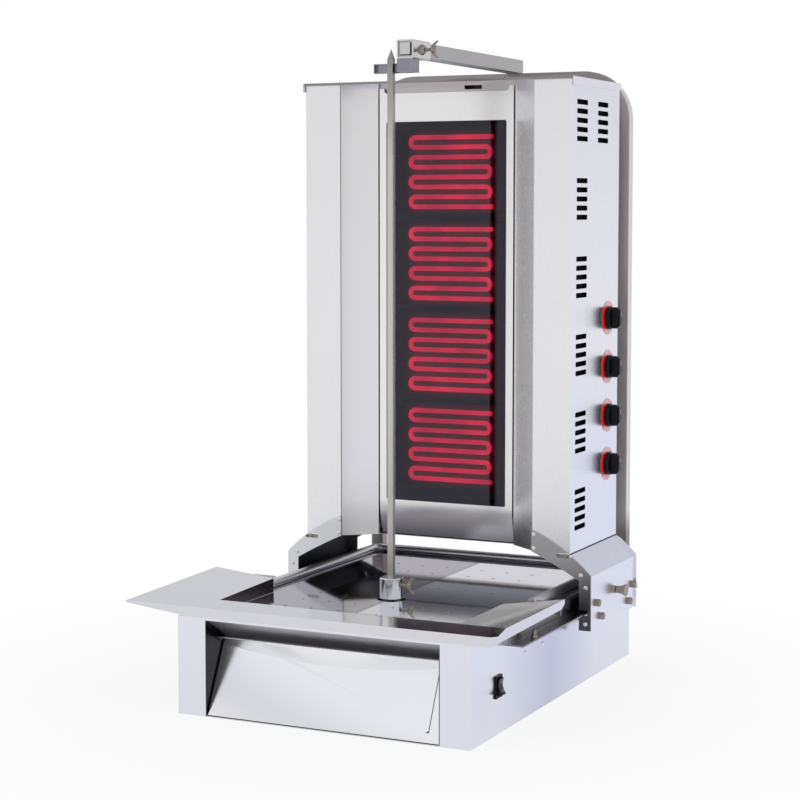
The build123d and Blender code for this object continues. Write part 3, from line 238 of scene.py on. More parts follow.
def brushed_grain_group():
    """Fine parallel strokes of the grinding belt, along the direction whose scale is low."""
    group, enter, leave = new_group("brushed_grain", [
        ("Stroke Scale", "NodeSocketVector", (900, 900, 6)), ("Depth", "NodeSocketFloat", 1.0)],
        [("Stroke", "NodeSocketFloat"), ("Height", "NodeSocketFloat")])
    place = node_in(group, "ShaderNodeTexCoord")
    stretch = node_in(group, "ShaderNodeVectorMath", operation="MULTIPLY")
    group.links.new(place.outputs["Object"], stretch.inputs[0])
    group.links.new(enter.outputs["Stroke Scale"], stretch.inputs[1])
    fine = node_in(group, "ShaderNodeTexNoise")
    fine.inputs["Scale"].default_value = 1.0
    fine.inputs["Detail"].default_value = 3.0
    fine.inputs["Roughness"].default_value = 0.7
    group.links.new(stretch.outputs[0], fine.inputs["Vector"])
    group.links.new(fine.outputs["Fac"], leave.inputs["Stroke"])
    group.links.new(math_in(group, "MULTIPLY", fine.outputs["Fac"], enter.outputs["Depth"]),
                    leave.inputs["Height"])
    return group


def handling_group():
    """Soft clouding of a rolled sheet and the faint smears that hands and cloths leave on it."""
    group, enter, leave = new_group("handling", [
        ("Cloud Scale", "NodeSocketFloat", 4.0), ("Smear Scale", "NodeSocketFloat", 22.0)],
        [("Cloud", "NodeSocketFloat"), ("Smear", "NodeSocketFloat")])
    place = node_in(group, "ShaderNodeTexCoord")
    cloud = node_in(group, "ShaderNodeTexNoise")
    cloud.inputs["Detail"].default_value = 2.0
    smear = node_in(group, "ShaderNodeTexNoise")
    smear.inputs["Detail"].default_value = 5.0
    smear.inputs["Distortion"].default_value = 1.4
    for node, label in ((cloud, "Cloud Scale"), (smear, "Smear Scale")):
        group.links.new(place.outputs["Object"], node.inputs["Vector"])
        group.links.new(enter.outputs[label], node.inputs["Scale"])
    ramp = node_in(group, "ShaderNodeMapRange")
    ramp.inputs["From Min"].default_value = 0.52
    ramp.inputs["From Max"].default_value = 0.72
    group.links.new(smear.outputs["Fac"], ramp.inputs["Value"])
    group.links.new(cloud.outputs["Fac"], leave.inputs["Cloud"])
    group.links.new(ramp.outputs["Result"], leave.inputs["Smear"])
    return group


def worn_edge_group():
    """A mask of the corners that rub against things, broken up so that it isn't an even line."""
    group, enter, leave = new_group("worn_edge", [
        ("Radius", "NodeSocketFloat", 0.0012), ("Break Scale", "NodeSocketFloat", 160.0)],
        [("Edge", "NodeSocketFloat")])
    rounded = node_in(group, "ShaderNodeBevel", samples=4)
    group.links.new(enter.outputs["Radius"], rounded.inputs["Radius"])
    flat = node_in(group, "ShaderNodeNewGeometry")
    turn = node_in(group, "ShaderNodeVectorMath", operation="DOT_PRODUCT")
    group.links.new(rounded.outputs["Normal"], turn.inputs[0])
    group.links.new(flat.outputs["Normal"], turn.inputs[1])
    ramp = node_in(group, "ShaderNodeMapRange")
    ramp.inputs["From Min"].default_value = 0.995
    ramp.inputs["From Max"].default_value = 0.90
    group.links.new(turn.outputs["Value"], ramp.inputs["Value"])
    place = node_in(group, "ShaderNodeTexCoord")
    patch = node_in(group, "ShaderNodeTexNoise")
    group.links.new(place.outputs["Object"], patch.inputs["Vector"])
    group.links.new(enter.outputs["Break Scale"], patch.inputs["Scale"])
    group.links.new(math_in(group, "MULTIPLY", ramp.outputs["Result"], patch.outputs["Fac"]),
                    leave.inputs["Edge"])
    return group


brushed_grain = brushed_grain_group()
handling = handling_group()
worn_edge = worn_edge_group()


# Materials

def new_material(name, colour, roughness, metallic=0.0):
    material = bpy.data.materials.new(name)
    material.use_nodes = True
    material.diffuse_color = (*colour, 1)
    shader = material.node_tree.nodes["Principled BSDF"]
    shader.inputs["Base Color"].default_value = (*colour, 1)
    shader.inputs["Roughness"].default_value = roughness
    shader.inputs["Metallic"].default_value = metallic
    return material, material.node_tree, shader


def effect(tree, group, **values):
    node = tree.nodes.new("ShaderNodeGroup")
    node.node_tree = group
    for key, value in values.items():
        node.inputs[key.replace("_", " ")].default_value = value
    return node


def mixed(tree, share, first, second):
    """A colour between two, by a share that changes over the surface."""
    mix = node_in(tree, "ShaderNodeMix", data_type="RGBA")
    tree.links.new(share, mix.inputs[0])
    for socket, value in ((mix.inputs[6], first), (mix.inputs[7], second)):
        if isinstance(value, tuple):
            socket.default_value = (*value, 1)
        else:
            tree.links.new(value, socket)
    return mix.outputs[2]


def ranged(tree, value, low, high, start=0.3, end=0.7):
    """A number that goes from low to high while the value goes from start to end, and stops there."""
    node = node_in(tree, "ShaderNodeMapRange")
    tree.links.new(value, node.inputs["Value"])
    for label, number in (("From Min", start), ("From Max", end), ("To Min", low), ("To Max", high)):
        node.inputs[label].default_value = number
    return node.outputs["Result"]


def bumped(tree, shader, height, distance, strength):
    bump = node_in(tree, "ShaderNodeBump")
    bump.inputs["Distance"].default_value = distance
    bump.inputs["Strength"].default_value = strength
    tree.links.new(height, bump.inputs["Height"])
    tree.links.new(bump.outputs["Normal"], shader.inputs["Normal"])
    return bump


def steel(name, colour, roughness, strokes, depth=1.0, spread=0.02, edge=True, painted_shade_bands=(), belt=None, sag=0.0):
    """Stainless sheet: belt-ground strokes, clouding, faint smears and bright worn corners.

    strokes is the scale of the belt's strokes along each axis, and depth is how deep they cut.
    spread is how far the colour varies over the sheet. Without edge, no corner is worn bright.
    Each painted shade band is a colour and two heights: from the first to the second the sheet is painted
    darker, in that colour.
    belt is a painted shade band: a colour, a Y and half a width; the sheet is painted that colour at Y and
    fades back over the half width.
    sag is a slope, rising to the rear, that shows only in the sheet's reflections."""
    material, tree, shader = new_material(name, colour, roughness, metallic=1.0)
    grain = effect(tree, brushed_grain, Stroke_Scale=strokes, Depth=depth)
    marks = effect(tree, handling)
    darker = tuple(c * (1 - 1.1 * spread) for c in colour)
    lighter = tuple(min(1.0, c * (1 + 0.8 * spread)) for c in colour)
    ground = mixed(tree, ranged(tree, grain.outputs["Stroke"], 0, 1), darker, lighter)
    clouded = mixed(tree, ranged(tree, marks.outputs["Cloud"], 0, 0.5), ground,
                    tuple(c * (1 - spread) for c in colour))
    if edge:
        corner = effect(tree, worn_edge)
        clouded = mixed(tree, ranged(tree, corner.outputs["Edge"], 0, 0.55, 0.1, 0.6), clouded,
                        (0.92, 0.92, 0.93))
    place = node_in(tree, "ShaderNodeTexCoord")
    axes = node_in(tree, "ShaderNodeSeparateXYZ")
    tree.links.new(place.outputs["Object"], axes.inputs[0])
    # Painted shade: the sheet darkens to each band's colour between its two heights.
    for shade_colour, start, end in painted_shade_bands:
        clouded = mixed(tree, ranged(tree, axes.outputs["Z"], 0, 1, start, end), clouded, shade_colour)
    # Painted shade band across Y, darkest at its middle.
    if belt:
        band_shade_colour, centre, half = belt
        away = math_in(tree, "ABSOLUTE", math_in(tree, "SUBTRACT", axes.outputs["Y"], centre))
        clouded = mixed(tree, ranged(tree, away, 1, 0, 0, half), clouded, band_shade_colour)
    tree.links.new(clouded, shader.inputs["Base Color"])
    rough = math_in(tree, "ADD", ranged(tree, grain.outputs["Stroke"], roughness * 0.93, roughness * 1.07),
                    ranged(tree, marks.outputs["Smear"], 0, 0.03, 0, 1))
    tree.links.new(rough, shader.inputs["Roughness"])
    ground_normal = bumped(tree, shader, grain.outputs["Height"], 0.000006, 0.12)
    if sag:
        tipped = node_in(tree, "ShaderNodeBump")
        tipped.inputs["Distance"].default_value = sag
        tree.links.new(axes.outputs["Y"], tipped.inputs["Height"])
        tree.links.new(tipped.outputs["Normal"], ground_normal.inputs["Normal"])
    return material


# Scales of the belt's strokes along X, Y and Z: the low one is the way that they run
UPRIGHT = (2200, 2200, 9)
ACROSS = (9, 2200, 2200)
LENGTHWISE = (2200, 9, 2200)
COARSE_UPRIGHT = (500, 500, 12)
AROUND_HUB = (40, 40, 2200)

# The heater panel's steel is painted darker towards its foot: painted shade.
housing_steel = steel("housing_sheet", (0.90, 0.90, 0.89), 0.25, UPRIGHT,
                      painted_shade_bands=[((0.29, 0.285, 0.31), 0.298, 0.240)])
side_steel = steel("side_sheet", (0.83, 0.84, 0.91), 0.26, UPRIGHT)
# A lighter, less blue copy of the side steel for the side walls' front faces: painted light.
strip_steel = steel("front_strip", (0.86, 0.86, 0.88), 0.26, UPRIGHT)
# The cabinet's sides are painted darker and bluer around 330 mm back: painted shade.
cabinet_steel = steel("cabinet_sheet", (0.84, 0.85, 0.92), 0.24, LENGTHWISE,
                      belt=((0.60, 0.62, 0.76), y_at(330), 0.22))
drawer_steel = steel("drawer_sheet", (0.90, 0.905, 0.94), 0.20, ACROSS)
# A lighter copy of the drawer steel for the pull's forward and downward faces: painted highlight.
pull_highlight_steel = steel("pull_sheet", (0.97, 0.975, 0.99), 0.20, ACROSS)
cove_steel = steel("cove_sheet", (0.80, 0.78, 0.80), 0.46, ACROSS)
# Near-black copy of the steel for the drawer recess's inner sides: painted shade.
recess_shade_steel = steel("recess_side", (0.04, 0.038, 0.042), 0.30, UPRIGHT, edge=False)
reflector_steel = steel("reflector_sheet", (0.84, 0.825, 0.81), 0.20, UPRIGHT)
shaded_reflector = steel("shaded_reflector", (0.80, 0.81, 0.85), 0.26, UPRIGHT)
worktop_steel = steel("tray_sheet", (0.74, 0.74, 0.78), 0.10, ACROSS, depth=0.5, spread=0.015)
# A dark copy of the tray steel for the tray's apron faces: painted shade.
apron_shade_steel = steel("apron_sheet", (0.38, 0.37, 0.40), 0.16, ACROSS, edge=False)
# A darker copy of the tray steel for the tray's right corner facet: painted shade.
facet_shade_steel = steel("facet_sheet", (0.34, 0.325, 0.31), 0.20, LENGTHWISE, edge=False)
# A near-black copy of the tray steel for the basin's inner side wall: painted shade.
basin_side_shade_steel = steel("basin_side", (0.16, 0.13, 0.14), 0.14, LENGTHWISE, edge=False)
pan_steel = steel("pan_sheet", (0.84, 0.84, 0.87), 0.06, LENGTHWISE, depth=0.4, spread=0.012, sag=0.036)
# A darker copy of the pan steel for the left pan: painted dark reflection.
left_pan_shade_steel = steel("left_pan_sheet", (0.40, 0.38, 0.41), 0.08, LENGTHWISE, depth=0.4, spread=0.012,
                       sag=0.036)
left_plate_steel = steel("left_cut_plate", (0.70, 0.71, 0.74), 0.32, UPRIGHT)
# A darker copy of the left bracket's steel for the right bracket, darker still towards its foot: painted
# shade.
right_plate_shade_steel = steel("right_cut_plate", (0.44, 0.435, 0.44), 0.34, UPRIGHT,
                          painted_shade_bands=[((0.10, 0.09, 0.095), 0.225, 0.125)])
slide_steel = steel("slide_sheet", (0.24, 0.23, 0.24), 0.25, LENGTHWISE)
# The rear frame's steel is painted darker at the legs' foot and along its top: painted shade.
frame_steel = steel("rear_sheet", (0.84, 0.80, 0.79), 0.48, UPRIGHT,
                    painted_shade_bands=[((0.36, 0.32, 0.31), 0.27, 0.23), ((0.36, 0.335, 0.33), 1.035, 1.05)])
# A darker, browner copy of the cover steel for the notch's front faces: painted shade.
notch_shade_steel = steel("notch_strip", (0.60, 0.56, 0.555), 0.3, ACROSS)
# A dark brown copy of the steel for the roof's and tray's front lips and the slot bolts' plates: painted
# shade.
lip_shade_steel = steel("roof_lip", (0.30, 0.27, 0.27), 0.30, ACROSS, edge=False)
tube_steel = steel("drawn_tube", (0.46, 0.445, 0.45), 0.26, LENGTHWISE)
sleeve_steel = steel("sleeve_tube", (0.72, 0.69, 0.67), 0.20, LENGTHWISE)
guide_steel = steel("guide_sheet", (0.30, 0.295, 0.34), 0.28, ACROSS)
rail_steel = steel("bent_rail", (0.80, 0.79, 0.81), 0.33, LENGTHWISE, depth=0.4)
# The spindle is painted darker towards its top and towards its foot: painted shade.
spindle_steel = steel("drawn_square_bar", (0.60, 0.59, 0.555), 0.27, UPRIGHT,
                      painted_shade_bands=[((0.33, 0.32, 0.295), 0.90, 1.06), ((0.46, 0.455, 0.42), 0.50, 0.24)])
hub_chrome = steel("turned_hub", (0.72, 0.74, 0.78), 0.09, AROUND_HUB, depth=0.3, spread=0.02)
inside_steel = steel("inner_sheet", (0.60, 0.60, 0.60), 0.36, COARSE_UPRIGHT, edge=False)
shadow_steel = steel("unlit_sheet", (0.045, 0.045, 0.05), 0.45, COARSE_UPRIGHT, edge=False)
# A dark, blue copy of the steel for the housing's floor: painted shade.
underside_shade_steel = steel("underside_sheet", (0.20, 0.215, 0.26), 0.40, COARSE_UPRIGHT, edge=False)


def nickel(name, colour, roughness):
    """Plated fastener: tumbled and speckled, its corners rubbed brighter."""
    material, tree, shader = new_material(name, colour, roughness, metallic=1.0)
    place = node_in(tree, "ShaderNodeTexCoord")
    speck = node_in(tree, "ShaderNodeTexNoise")
    speck.inputs["Scale"].default_value = 700
    speck.inputs["Detail"].default_value = 3
    tree.links.new(place.outputs["Object"], speck.inputs["Vector"])
    corner = effect(tree, worn_edge, Radius=0.0006, Break_Scale=400.0)
    plated = mixed(tree, ranged(tree, speck.outputs["Fac"], 0, 1), tuple(c * 0.86 for c in colour), colour)
    worn = mixed(tree, ranged(tree, corner.outputs["Edge"], 0, 0.3, 0.1, 0.6), plated,
                 tuple(min(0.92, c * 1.7) for c in colour))
    tree.links.new(worn, shader.inputs["Base Color"])
    tree.links.new(ranged(tree, speck.outputs["Fac"], roughness * 0.8, roughness * 1.3),
                   shader.inputs["Roughness"])
    bumped(tree, shader, speck.outputs["Fac"], 0.00003, 0.4)
    return material


screw_nickel = nickel("screw_nickel", (0.84, 0.84, 0.85), 0.20)
cast_nickel = nickel("cast_nickel", (0.34, 0.295, 0.25), 0.22)


def moulded(name, colour, roughness, speckle, scale=900):
    """Moulded plastic with the fine spark texture of its tool."""
    material, tree, shader = new_material(name, colour, roughness)
    place = node_in(tree, "ShaderNodeTexCoord")
    spark = node_in(tree, "ShaderNodeTexNoise")
    spark.inputs["Scale"].default_value = scale
    spark.inputs["Detail"].default_value = 2
    tree.links.new(place.outputs["Object"], spark.inputs["Vector"])
    corner = effect(tree, worn_edge, Radius=0.0008, Break_Scale=300.0)
    body = mixed(tree, ranged(tree, spark.outputs["Fac"], 0, 1), colour,
                 tuple(c + speckle for c in colour))
    rubbed = mixed(tree, ranged(tree, corner.outputs["Edge"], 0, 0.35, 0.1, 0.6), body,
                   tuple(c + 3 * speckle for c in colour))
    tree.links.new(rubbed, shader.inputs["Base Color"])
    tree.links.new(ranged(tree, spark.outputs["Fac"], roughness * 0.85, roughness * 1.2),
                   shader.inputs["Roughness"])
    bumped(tree, shader, spark.outputs["Fac"], 0.00008, 0.35)
    return material


black_plastic = moulded("black_moulding", (0.004, 0.0035, 0.006), 0.22, 0.002)
black_plastic.node_tree.nodes["Principled BSDF"].inputs["Specular IOR Level"].default_value = 0.16
plug_plastic = moulded("grey_plug", (0.62, 0.63, 0.64), 0.35, 0.02)
rubber = moulded("black_rubber", (0.020, 0.020, 0.021), 0.62, 0.012, scale=500)
cream_plastic = moulded("cream_moulding", (0.78, 0.75, 0.68), 0.45, 0.03)
mark_paint = moulded("white_mark", (0.82, 0.82, 0.80), 0.5, 0.03)
# Near-black sheet for behind the vent slots, standing for the dark inside of the housing: painted shade.
vent_shade_black = moulded("vent_painted_shade", (0.003, 0.003, 0.0035), 0.8, 0.002, scale=120)
vent_shade_black.node_tree.nodes["Principled BSDF"].inputs["Specular IOR Level"].default_value = 0.05
casting = moulded("grey_casting", (0.20, 0.21, 0.23), 0.5, 0.05, scale=260)


def enamel_disc_material():
    """Red dial plate whose upper and lower ends fade to a pale tint."""
    material, tree, shader = new_material("dial_enamel", (0.80, 0.025, 0.03), 0.25)
    shader.inputs["Coat Weight"].default_value = 0.5
    shader.inputs["Coat Roughness"].default_value = 0.12
    place = node_in(tree, "ShaderNodeTexCoord")
    axes = node_in(tree, "ShaderNodeSeparateXYZ")
    tree.links.new(place.outputs["Object"], axes.inputs[0])
    row = math_in(tree, "ADD", axes.outputs["Z"], KNOB_PITCH * 0.5 - KNOB_FIRST)
    local = math_in(tree, "SUBTRACT", math_in(tree, "FLOORED_MODULO", row, KNOB_PITCH), KNOB_PITCH * 0.5)
    away = math_in(tree, "ABSOLUTE", local)
    fade = ranged(tree, away, 0, 1, 0.0175, 0.0235)
    speck = node_in(tree, "ShaderNodeTexNoise")
    speck.inputs["Scale"].default_value = 420
    tree.links.new(place.outputs["Object"], speck.inputs["Vector"])
    red = mixed(tree, ranged(tree, speck.outputs["Fac"], 0, 1), (0.74, 0.012, 0.016), (0.86, 0.03, 0.035))
    tree.links.new(mixed(tree, fade, red, (0.90, 0.42, 0.44)), shader.inputs["Base Color"])
    tree.links.new(ranged(tree, speck.outputs["Fac"], 0.2, 0.3), shader.inputs["Roughness"])
    bumped(tree, shader, speck.outputs["Fac"], 0.00002, 0.3)
    return material


def ceramic_glass_material():
    """Dark glass ceramic that lets the red glow through and mirrors the room weakly."""
    material, tree, shader = new_material("glass_ceramic", (0.13, 0.06, 0.085), 0.02)
    shader.inputs["Transmission Weight"].default_value = 1.0
    shader.inputs["IOR"].default_value = 1.5
    shader.inputs["Specular Tint"].default_value = (0.74, 0.82, 1.0, 1)
    place = node_in(tree, "ShaderNodeTexCoord")
    film = node_in(tree, "ShaderNodeTexNoise")
    film.inputs["Scale"].default_value = 9
    film.inputs["Detail"].default_value = 4
    tree.links.new(place.outputs["Object"], film.inputs["Vector"])
    tree.links.new(mixed(tree, ranged(tree, film.outputs["Fac"], 0, 1), (0.115, 0.060, 0.085),
                         (0.135, 0.070, 0.10)), shader.inputs["Base Color"])
    tree.links.new(ranged(tree, film.outputs["Fac"], 0.012, 0.03), shader.inputs["Roughness"])
    return material


def hot_coil_material():
    """Sheathed element at red heat, a little cooler in patches along its runs.

    Rays that were mirrored on their way see much less of its glow."""
    material, tree, shader = new_material("red_hot_sheath", (0.30, 0.03, 0.02), 0.6)
    shader.inputs["Emission Strength"].default_value = 4.8
    place = node_in(tree, "ShaderNodeTexCoord")
    patch = node_in(tree, "ShaderNodeTexNoise")
    patch.inputs["Scale"].default_value = 17
    patch.inputs["Detail"].default_value = 2
    tree.links.new(place.outputs["Object"], patch.inputs["Vector"])
    glow = mixed(tree, ranged(tree, patch.outputs["Fac"], 0, 1, 0.35, 0.65), (0.60, 0.024, 0.085),
                 (1.0, 0.055, 0.13))
    rays = node_in(tree, "ShaderNodeLightPath")
    tree.links.new(mixed(tree, ranged(tree, rays.outputs["Glossy Depth"], 0, 1, 0, 1), glow,
                         (0.07, 0.006, 0.010)), shader.inputs["Emission Color"])
    fine = node_in(tree, "ShaderNodeTexNoise")
    fine.inputs["Scale"].default_value = 600
    tree.links.new(place.outputs["Object"], fine.inputs["Vector"])
    bumped(tree, shader, fine.outputs["Fac"], 0.0001, 0.4)
    return material


def fibre_board_material():
    """Pressed ceramic fibre behind the elements, mottled grey."""
    material, tree, shader = new_material("fibre_board", (0.70, 0.67, 0.60), 0.9)
    place = node_in(tree, "ShaderNodeTexCoord")
    fibre = node_in(tree, "ShaderNodeTexNoise")
    fibre.inputs["Scale"].default_value = 130
    fibre.inputs["Detail"].default_value = 8
    fibre.inputs["Roughness"].default_value = 0.75
    tree.links.new(place.outputs["Object"], fibre.inputs["Vector"])
    tree.links.new(mixed(tree, ranged(tree, fibre.outputs["Fac"], 0, 1), (0.26, 0.235, 0.27),
                         (0.42, 0.39, 0.43)), shader.inputs["Base Color"])
    bumped(tree, shader, fibre.outputs["Fac"], 0.0006, 0.6)
    return material


dial_enamel = enamel_disc_material()
glass_ceramic = ceramic_glass_material()
red_hot = hot_coil_material()
fibre_board = fibre_board_material()


# Sheet metal that keeps its form, with its edges rounded off

sheet_pieces = [
    ("base_shell", "base", "satin_steel", cabinet_steel, 0.0006),
    ("front_cove", "base", "satin_steel", cove_steel, 0.0004),
    ("rail_end_plates", "base", "satin_steel", tube_steel, 0.0004),
    ("rear_frame", "base", "satin_steel", frame_steel, 0.0006),
    ("support_arm", "base", "satin_steel", tube_steel, 0.0),
    ("tray", "base", "polished_steel", worktop_steel, 0.0008),
    ("pan_left", "base", "polished_steel", left_pan_shade_steel, 0.0005),
    ("pan_right", "base", "polished_steel", pan_steel, 0.0005),
    ("slide_angle_left", "base", "bare_steel", slide_steel, 0.0006),
    ("slide_angle_right", "base", "bare_steel", slide_steel, 0.0006),
    ("motor_bridge", "base", "bare_steel", inside_steel, 0.0005),
    ("drawer_front", "drawer", "satin_steel", drawer_steel, 0.0005),
    ("drawer_pan", "drawer", "satin_steel", inside_steel, 0.0004),
    ("sleeve", "sleeve", "satin_steel", sleeve_steel, 0.0),
    ("spindle_guide", "sleeve", "satin_steel", guide_steel, 0.0004),
    ("hub", "hub", "hub_chrome", hub_chrome, 0.0004),
    ("spindle", "spindle", "spindle_steel", spindle_steel, 0.0005),
    ("side_wall_left", "carriage", "satin_steel", side_steel, 0.0005),
    ("side_wall_right", "carriage", "satin_steel", side_steel, 0.0005),
    ("reflector_left", "carriage", "polished_steel", reflector_steel, 0.0004),
    ("reflector_right", "carriage", "polished_steel", shaded_reflector, 0.0004),
    ("heater_panel", "carriage", "satin_steel", housing_steel, 0.0004),
    ("top_cover", "carriage", "satin_steel", side_steel, 0.0004),
    ("housing_back", "carriage", "satin_steel", frame_steel, 0.0004),
    ("housing_floor", "carriage", "satin_steel", underside_shade_steel, 0.0004),
    ("side_cover_left", "carriage", "satin_steel", side_steel, 0.0005),
    ("side_cover_right", "carriage", "satin_steel", side_steel, 0.0005),
    ("bracket_left", "carriage", "bare_steel", left_plate_steel, 0.0006),
    ("bracket_right", "carriage", "bare_steel", right_plate_shade_steel, 0.0006),
    ("rear_brackets", "carriage", "bare_steel", side_steel, 0.0006),
]
for node, body, slot, material, radius in sheet_pieces:
    finished(softened(node, radius), f"{node}_sheet", body, material, [node])


def refinish(name, material, chosen):
    """Gives another finish to the faces of a piece that chosen picks by their centre and normal."""
    piece = bpy.data.objects[name]
    piece.data.materials.append(material)
    for face in piece.data.polygons:
        if chosen(face.center, face.normal):
            face.material_index = len(piece.data.materials) - 1


# The recess's inner sides are painted near black: painted shade.
refinish("base_shell_sheet", recess_shade_steel,
         lambda at, out: abs(abs(at.x) - 0.208) < 0.0008 and abs(out.x) > 0.9 and at.y < y_at(62))
# The basin's inner side wall is painted dark: painted shade.
refinish("tray_sheet", basin_side_shade_steel, lambda at, out: abs(at.x + 0.206) < 0.001 and out.x > 0.9)
# The tray's apron faces are painted dark: painted shade.
refinish("tray_sheet", apron_shade_steel,
         lambda at, out: y_at(42) < at.y < y_at(118) and abs(at.x) < 0.25 and 0.1 < out.y < 0.5
         and out.z > 0.5)
# The tray's corner facet is painted darker: painted shade.
refinish("tray_sheet", facet_shade_steel, lambda at, out: at.x > 0.19 and -0.4 < out.x < -0.08 and out.z > 0.5)
# The tray's front lip and the roof's front faces are painted dark: painted shade.
refinish("tray_sheet", lip_shade_steel, lambda at, out: at.y < y_at(-19) and 0.2 < out.z < 0.98 and out.y < -0.2)
refinish("top_cover_sheet", lip_shade_steel, lambda at, out: at.y < y_at(428) and out.y < -0.7)
# The notch's front faces are painted darker: painted shade.
refinish("top_cover_sheet", notch_shade_steel, lambda at, out: y_at(480) < at.y < y_at(490) and out.y < -0.9)
refinish("spindle_sheet", shadow_steel, lambda at, out: out.y > 0.9)
# Painted highlight on the pull's forward and downward faces.
refinish("drawer_front_sheet", pull_highlight_steel, lambda at, out: out.y < -0.5 and out.z < 0)
# The side walls' front faces take the lighter strip copy, painted light; inner faces and the covers' inner
# and lower faces take painted shade.
for hand, side in ((-1, "left"), (1, "right")):
    refinish(f"side_wall_{side}_sheet", strip_steel, lambda at, out: out.y < -0.9)
    refinish(f"side_wall_{side}_sheet", shadow_steel, lambda at, out: out.x * hand < -0.5)
    refinish(f"side_cover_{side}_sheet", shadow_steel,
             lambda at, out: out.x * hand < -0.3 or (out.y > -0.9 and out.z < -0.5 and at.z > 0.15))

# The folded edge's seam on the drawer's leaning face, as a groove: its upright run, its foot and their corner
FACE_LEAN = math.radians(25.3)
GROOVE_DEPTH = 0.0009
on_face = Matrix.Translation((0, y_at(2), 0.0028)) @ Matrix.Rotation(-FACE_LEAN, 4, "X")
grooves = [block((0.1848, -GROOVE_DEPTH, 0.018), (0.1862, GROOVE_DEPTH, 0.112)),
           block((0.1802, -GROOVE_DEPTH, 0.0152), (0.1834, GROOVE_DEPTH, 0.0166)),
           block((0.1834, -GROOVE_DEPTH, 0.0152), (0.1862, GROOVE_DEPTH, 0.018))]
for groove in grooves:
    groove.matrix_world = on_face
    settle(groove)
    use_modifier(bpy.data.objects["drawer_front_sheet"], "BOOLEAN", operation="DIFFERENCE", object=groove,
                 solver="EXACT")
    pick(groove)
    bpy.ops.object.delete()
refinish("drawer_front_sheet", shadow_steel,
         lambda at, out: (0.1847 < at.x < 0.1863 and at.z < 0.118)
         or (0.1801 < at.x < 0.1835 and at.z < 0.022))

# Nodes whose own form stays, with a finish of their own
kept_nodes = {
    "base_floor": inside_steel, "drawer_runners": inside_steel, "u_rail": rail_steel,
    "drive_shaft": hub_chrome, "gear_motor": casting, "bearing_block": casting,
    "energy_regulators": cream_plastic, "element_carrier": inside_steel, "glide_pads": rubber,
    "insulation_trays": fibre_board, "knob_discs": dial_enamel, "glass_panel": glass_ceramic,
}
for number in range(1, ZONES + 1):
    kept_nodes[f"heating_coil_{number}"] = red_hot
for node, material in kept_nodes.items():
    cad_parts[node].data.materials.clear()
    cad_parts[node].data.materials.append(material)


# Screws, nuts and thumb screws

def cross_screw():
    """Pan-head screw with a cross recess, made along +Z at the origin."""
    head = turned([(4.0, 0), (4.0, 0.5), (3.75, 1.15), (3.1, 1.65), (2.1, 1.92), (0.9, 2.0)],
                  (0, 0, 0), (0, 0, 1), sides=20)
    for turn in (0, 1):
        reach = (1.9 * MM, 0.42 * MM)
        low = (-reach[turn], -reach[1 - turn], 1.0 * MM)
        high = (reach[turn], reach[1 - turn], 3.0 * MM)
        cutter = block(low, high)
        use_modifier(head, "BOOLEAN", operation="DIFFERENCE", object=cutter, solver="EXACT")
        pick(cutter)
        bpy.ops.object.delete()
    shade(head, 35)
    return head


# Screw places on a bracket, as X and Z in millimetres
bracket_spots = [(188.5, 262.6), (188.5, 238.6), (275.0, 198.0), (284.0, 177.0), (284.0, 115.0)]
places = []
for hand in (-1, 1):
    for x, z in bracket_spots:
        places.append(facing((hand * x * MM, y_at(430), z * MM), (0, -1, 0)))
        places.append(facing((hand * x * MM, y_at(669), z * MM), (0, 1, 0)))
screws = joined("carriage_screws", copies(cross_screw(), places))
finished(screws, "carriage_screws", "carriage", screw_nickel, ["bracket_screws"])

# Each slot bolt has a dark plate behind it that stands for the shade in its slot: painted shade.
backing = []
for hand in (-1, 1):
    for face, turn in ((433.05, 1), (665.95, -1)):
        sides = sorted((hand * 0.2285, hand * 0.2535))
        depths = sorted((y_at(face), y_at(face + turn * 1.4)))
        plate = block((sides[0], depths[0], 0.2225), (sides[1], depths[1], 0.2313), 0.0003)
        plate.data.materials.append(lip_shade_steel)
        backing.append(plate)
        bolt = turned([(3.3, 0), (3.3, 1.2), (2.9, 1.7), (2.0, 1.9), (0.8, 1.95)],
                      (hand * 0.247, y_at(face), 0.2283), (0, -turn, 0), 24)
        bolt.data.materials.append(cast_nickel)
        shade(bolt, 35)
        backing.append(bolt)
finished(joined("slot_bolts", backing), "slot_bolts", "carriage", None)

places = []
for hand in (-1, 1):
    for x, z in ((246, 250), (246, 640), (246, 1020)):
        places.append(facing((hand * x * MM, y_at(666), z * MM), (0, 1, 0)))
screws = joined("rear_plate_screws", copies(cross_screw(), places))
finished(screws, "rear_plate_screws", "carriage", screw_nickel)

places = [facing((hand * 0.253, y_at(299), 0.1695), (0, -1, 0)) for hand in (-1, 1)]
end_screws = copies(cross_screw(), places)
rivet = turned([(4.0, 0), (3.9, 0.5), (3.4, 1.1), (2.4, 1.6), (1.2, 1.9), (0.4, 2.0)],
               (0, 0, 0), (0, 0, 1), 20)
shade(rivet, 40)
rivets = copies(rivet, [facing((hand * 0.26, y_at(distance), 0.106), (hand, 0, 0))
                        for hand in (-1, 1) for distance in (220, 294)])
stops = []
for hand in (-1, 1):
    foot = (hand * 0.278, y_at(212), 0.134)
    nut = turned([(5.25, 0), (5.25, 3.9), (4.8, 4.33), (3.5, 4.33)], foot, (0, 0, 1), 6)
    bolt = turned([(3.5, 4.0), (3.5, 6.0), (3.2, 6.4), (3.5, 6.8), (3.5, 11.8), (3.1, 12.7), (2.2, 13.0)],
                  foot, (0, 0, 1), 20)
    for part in (nut, bolt):
        shade(part, 35)
        part.data.materials.append(cast_nickel)
        stops.append(part)
for part in end_screws:
    part.data.materials.append(screw_nickel)
for part in rivets:
    part.data.materials.append(side_steel)
fasteners = joined("base_screws_and_stops", end_screws + rivets + stops)
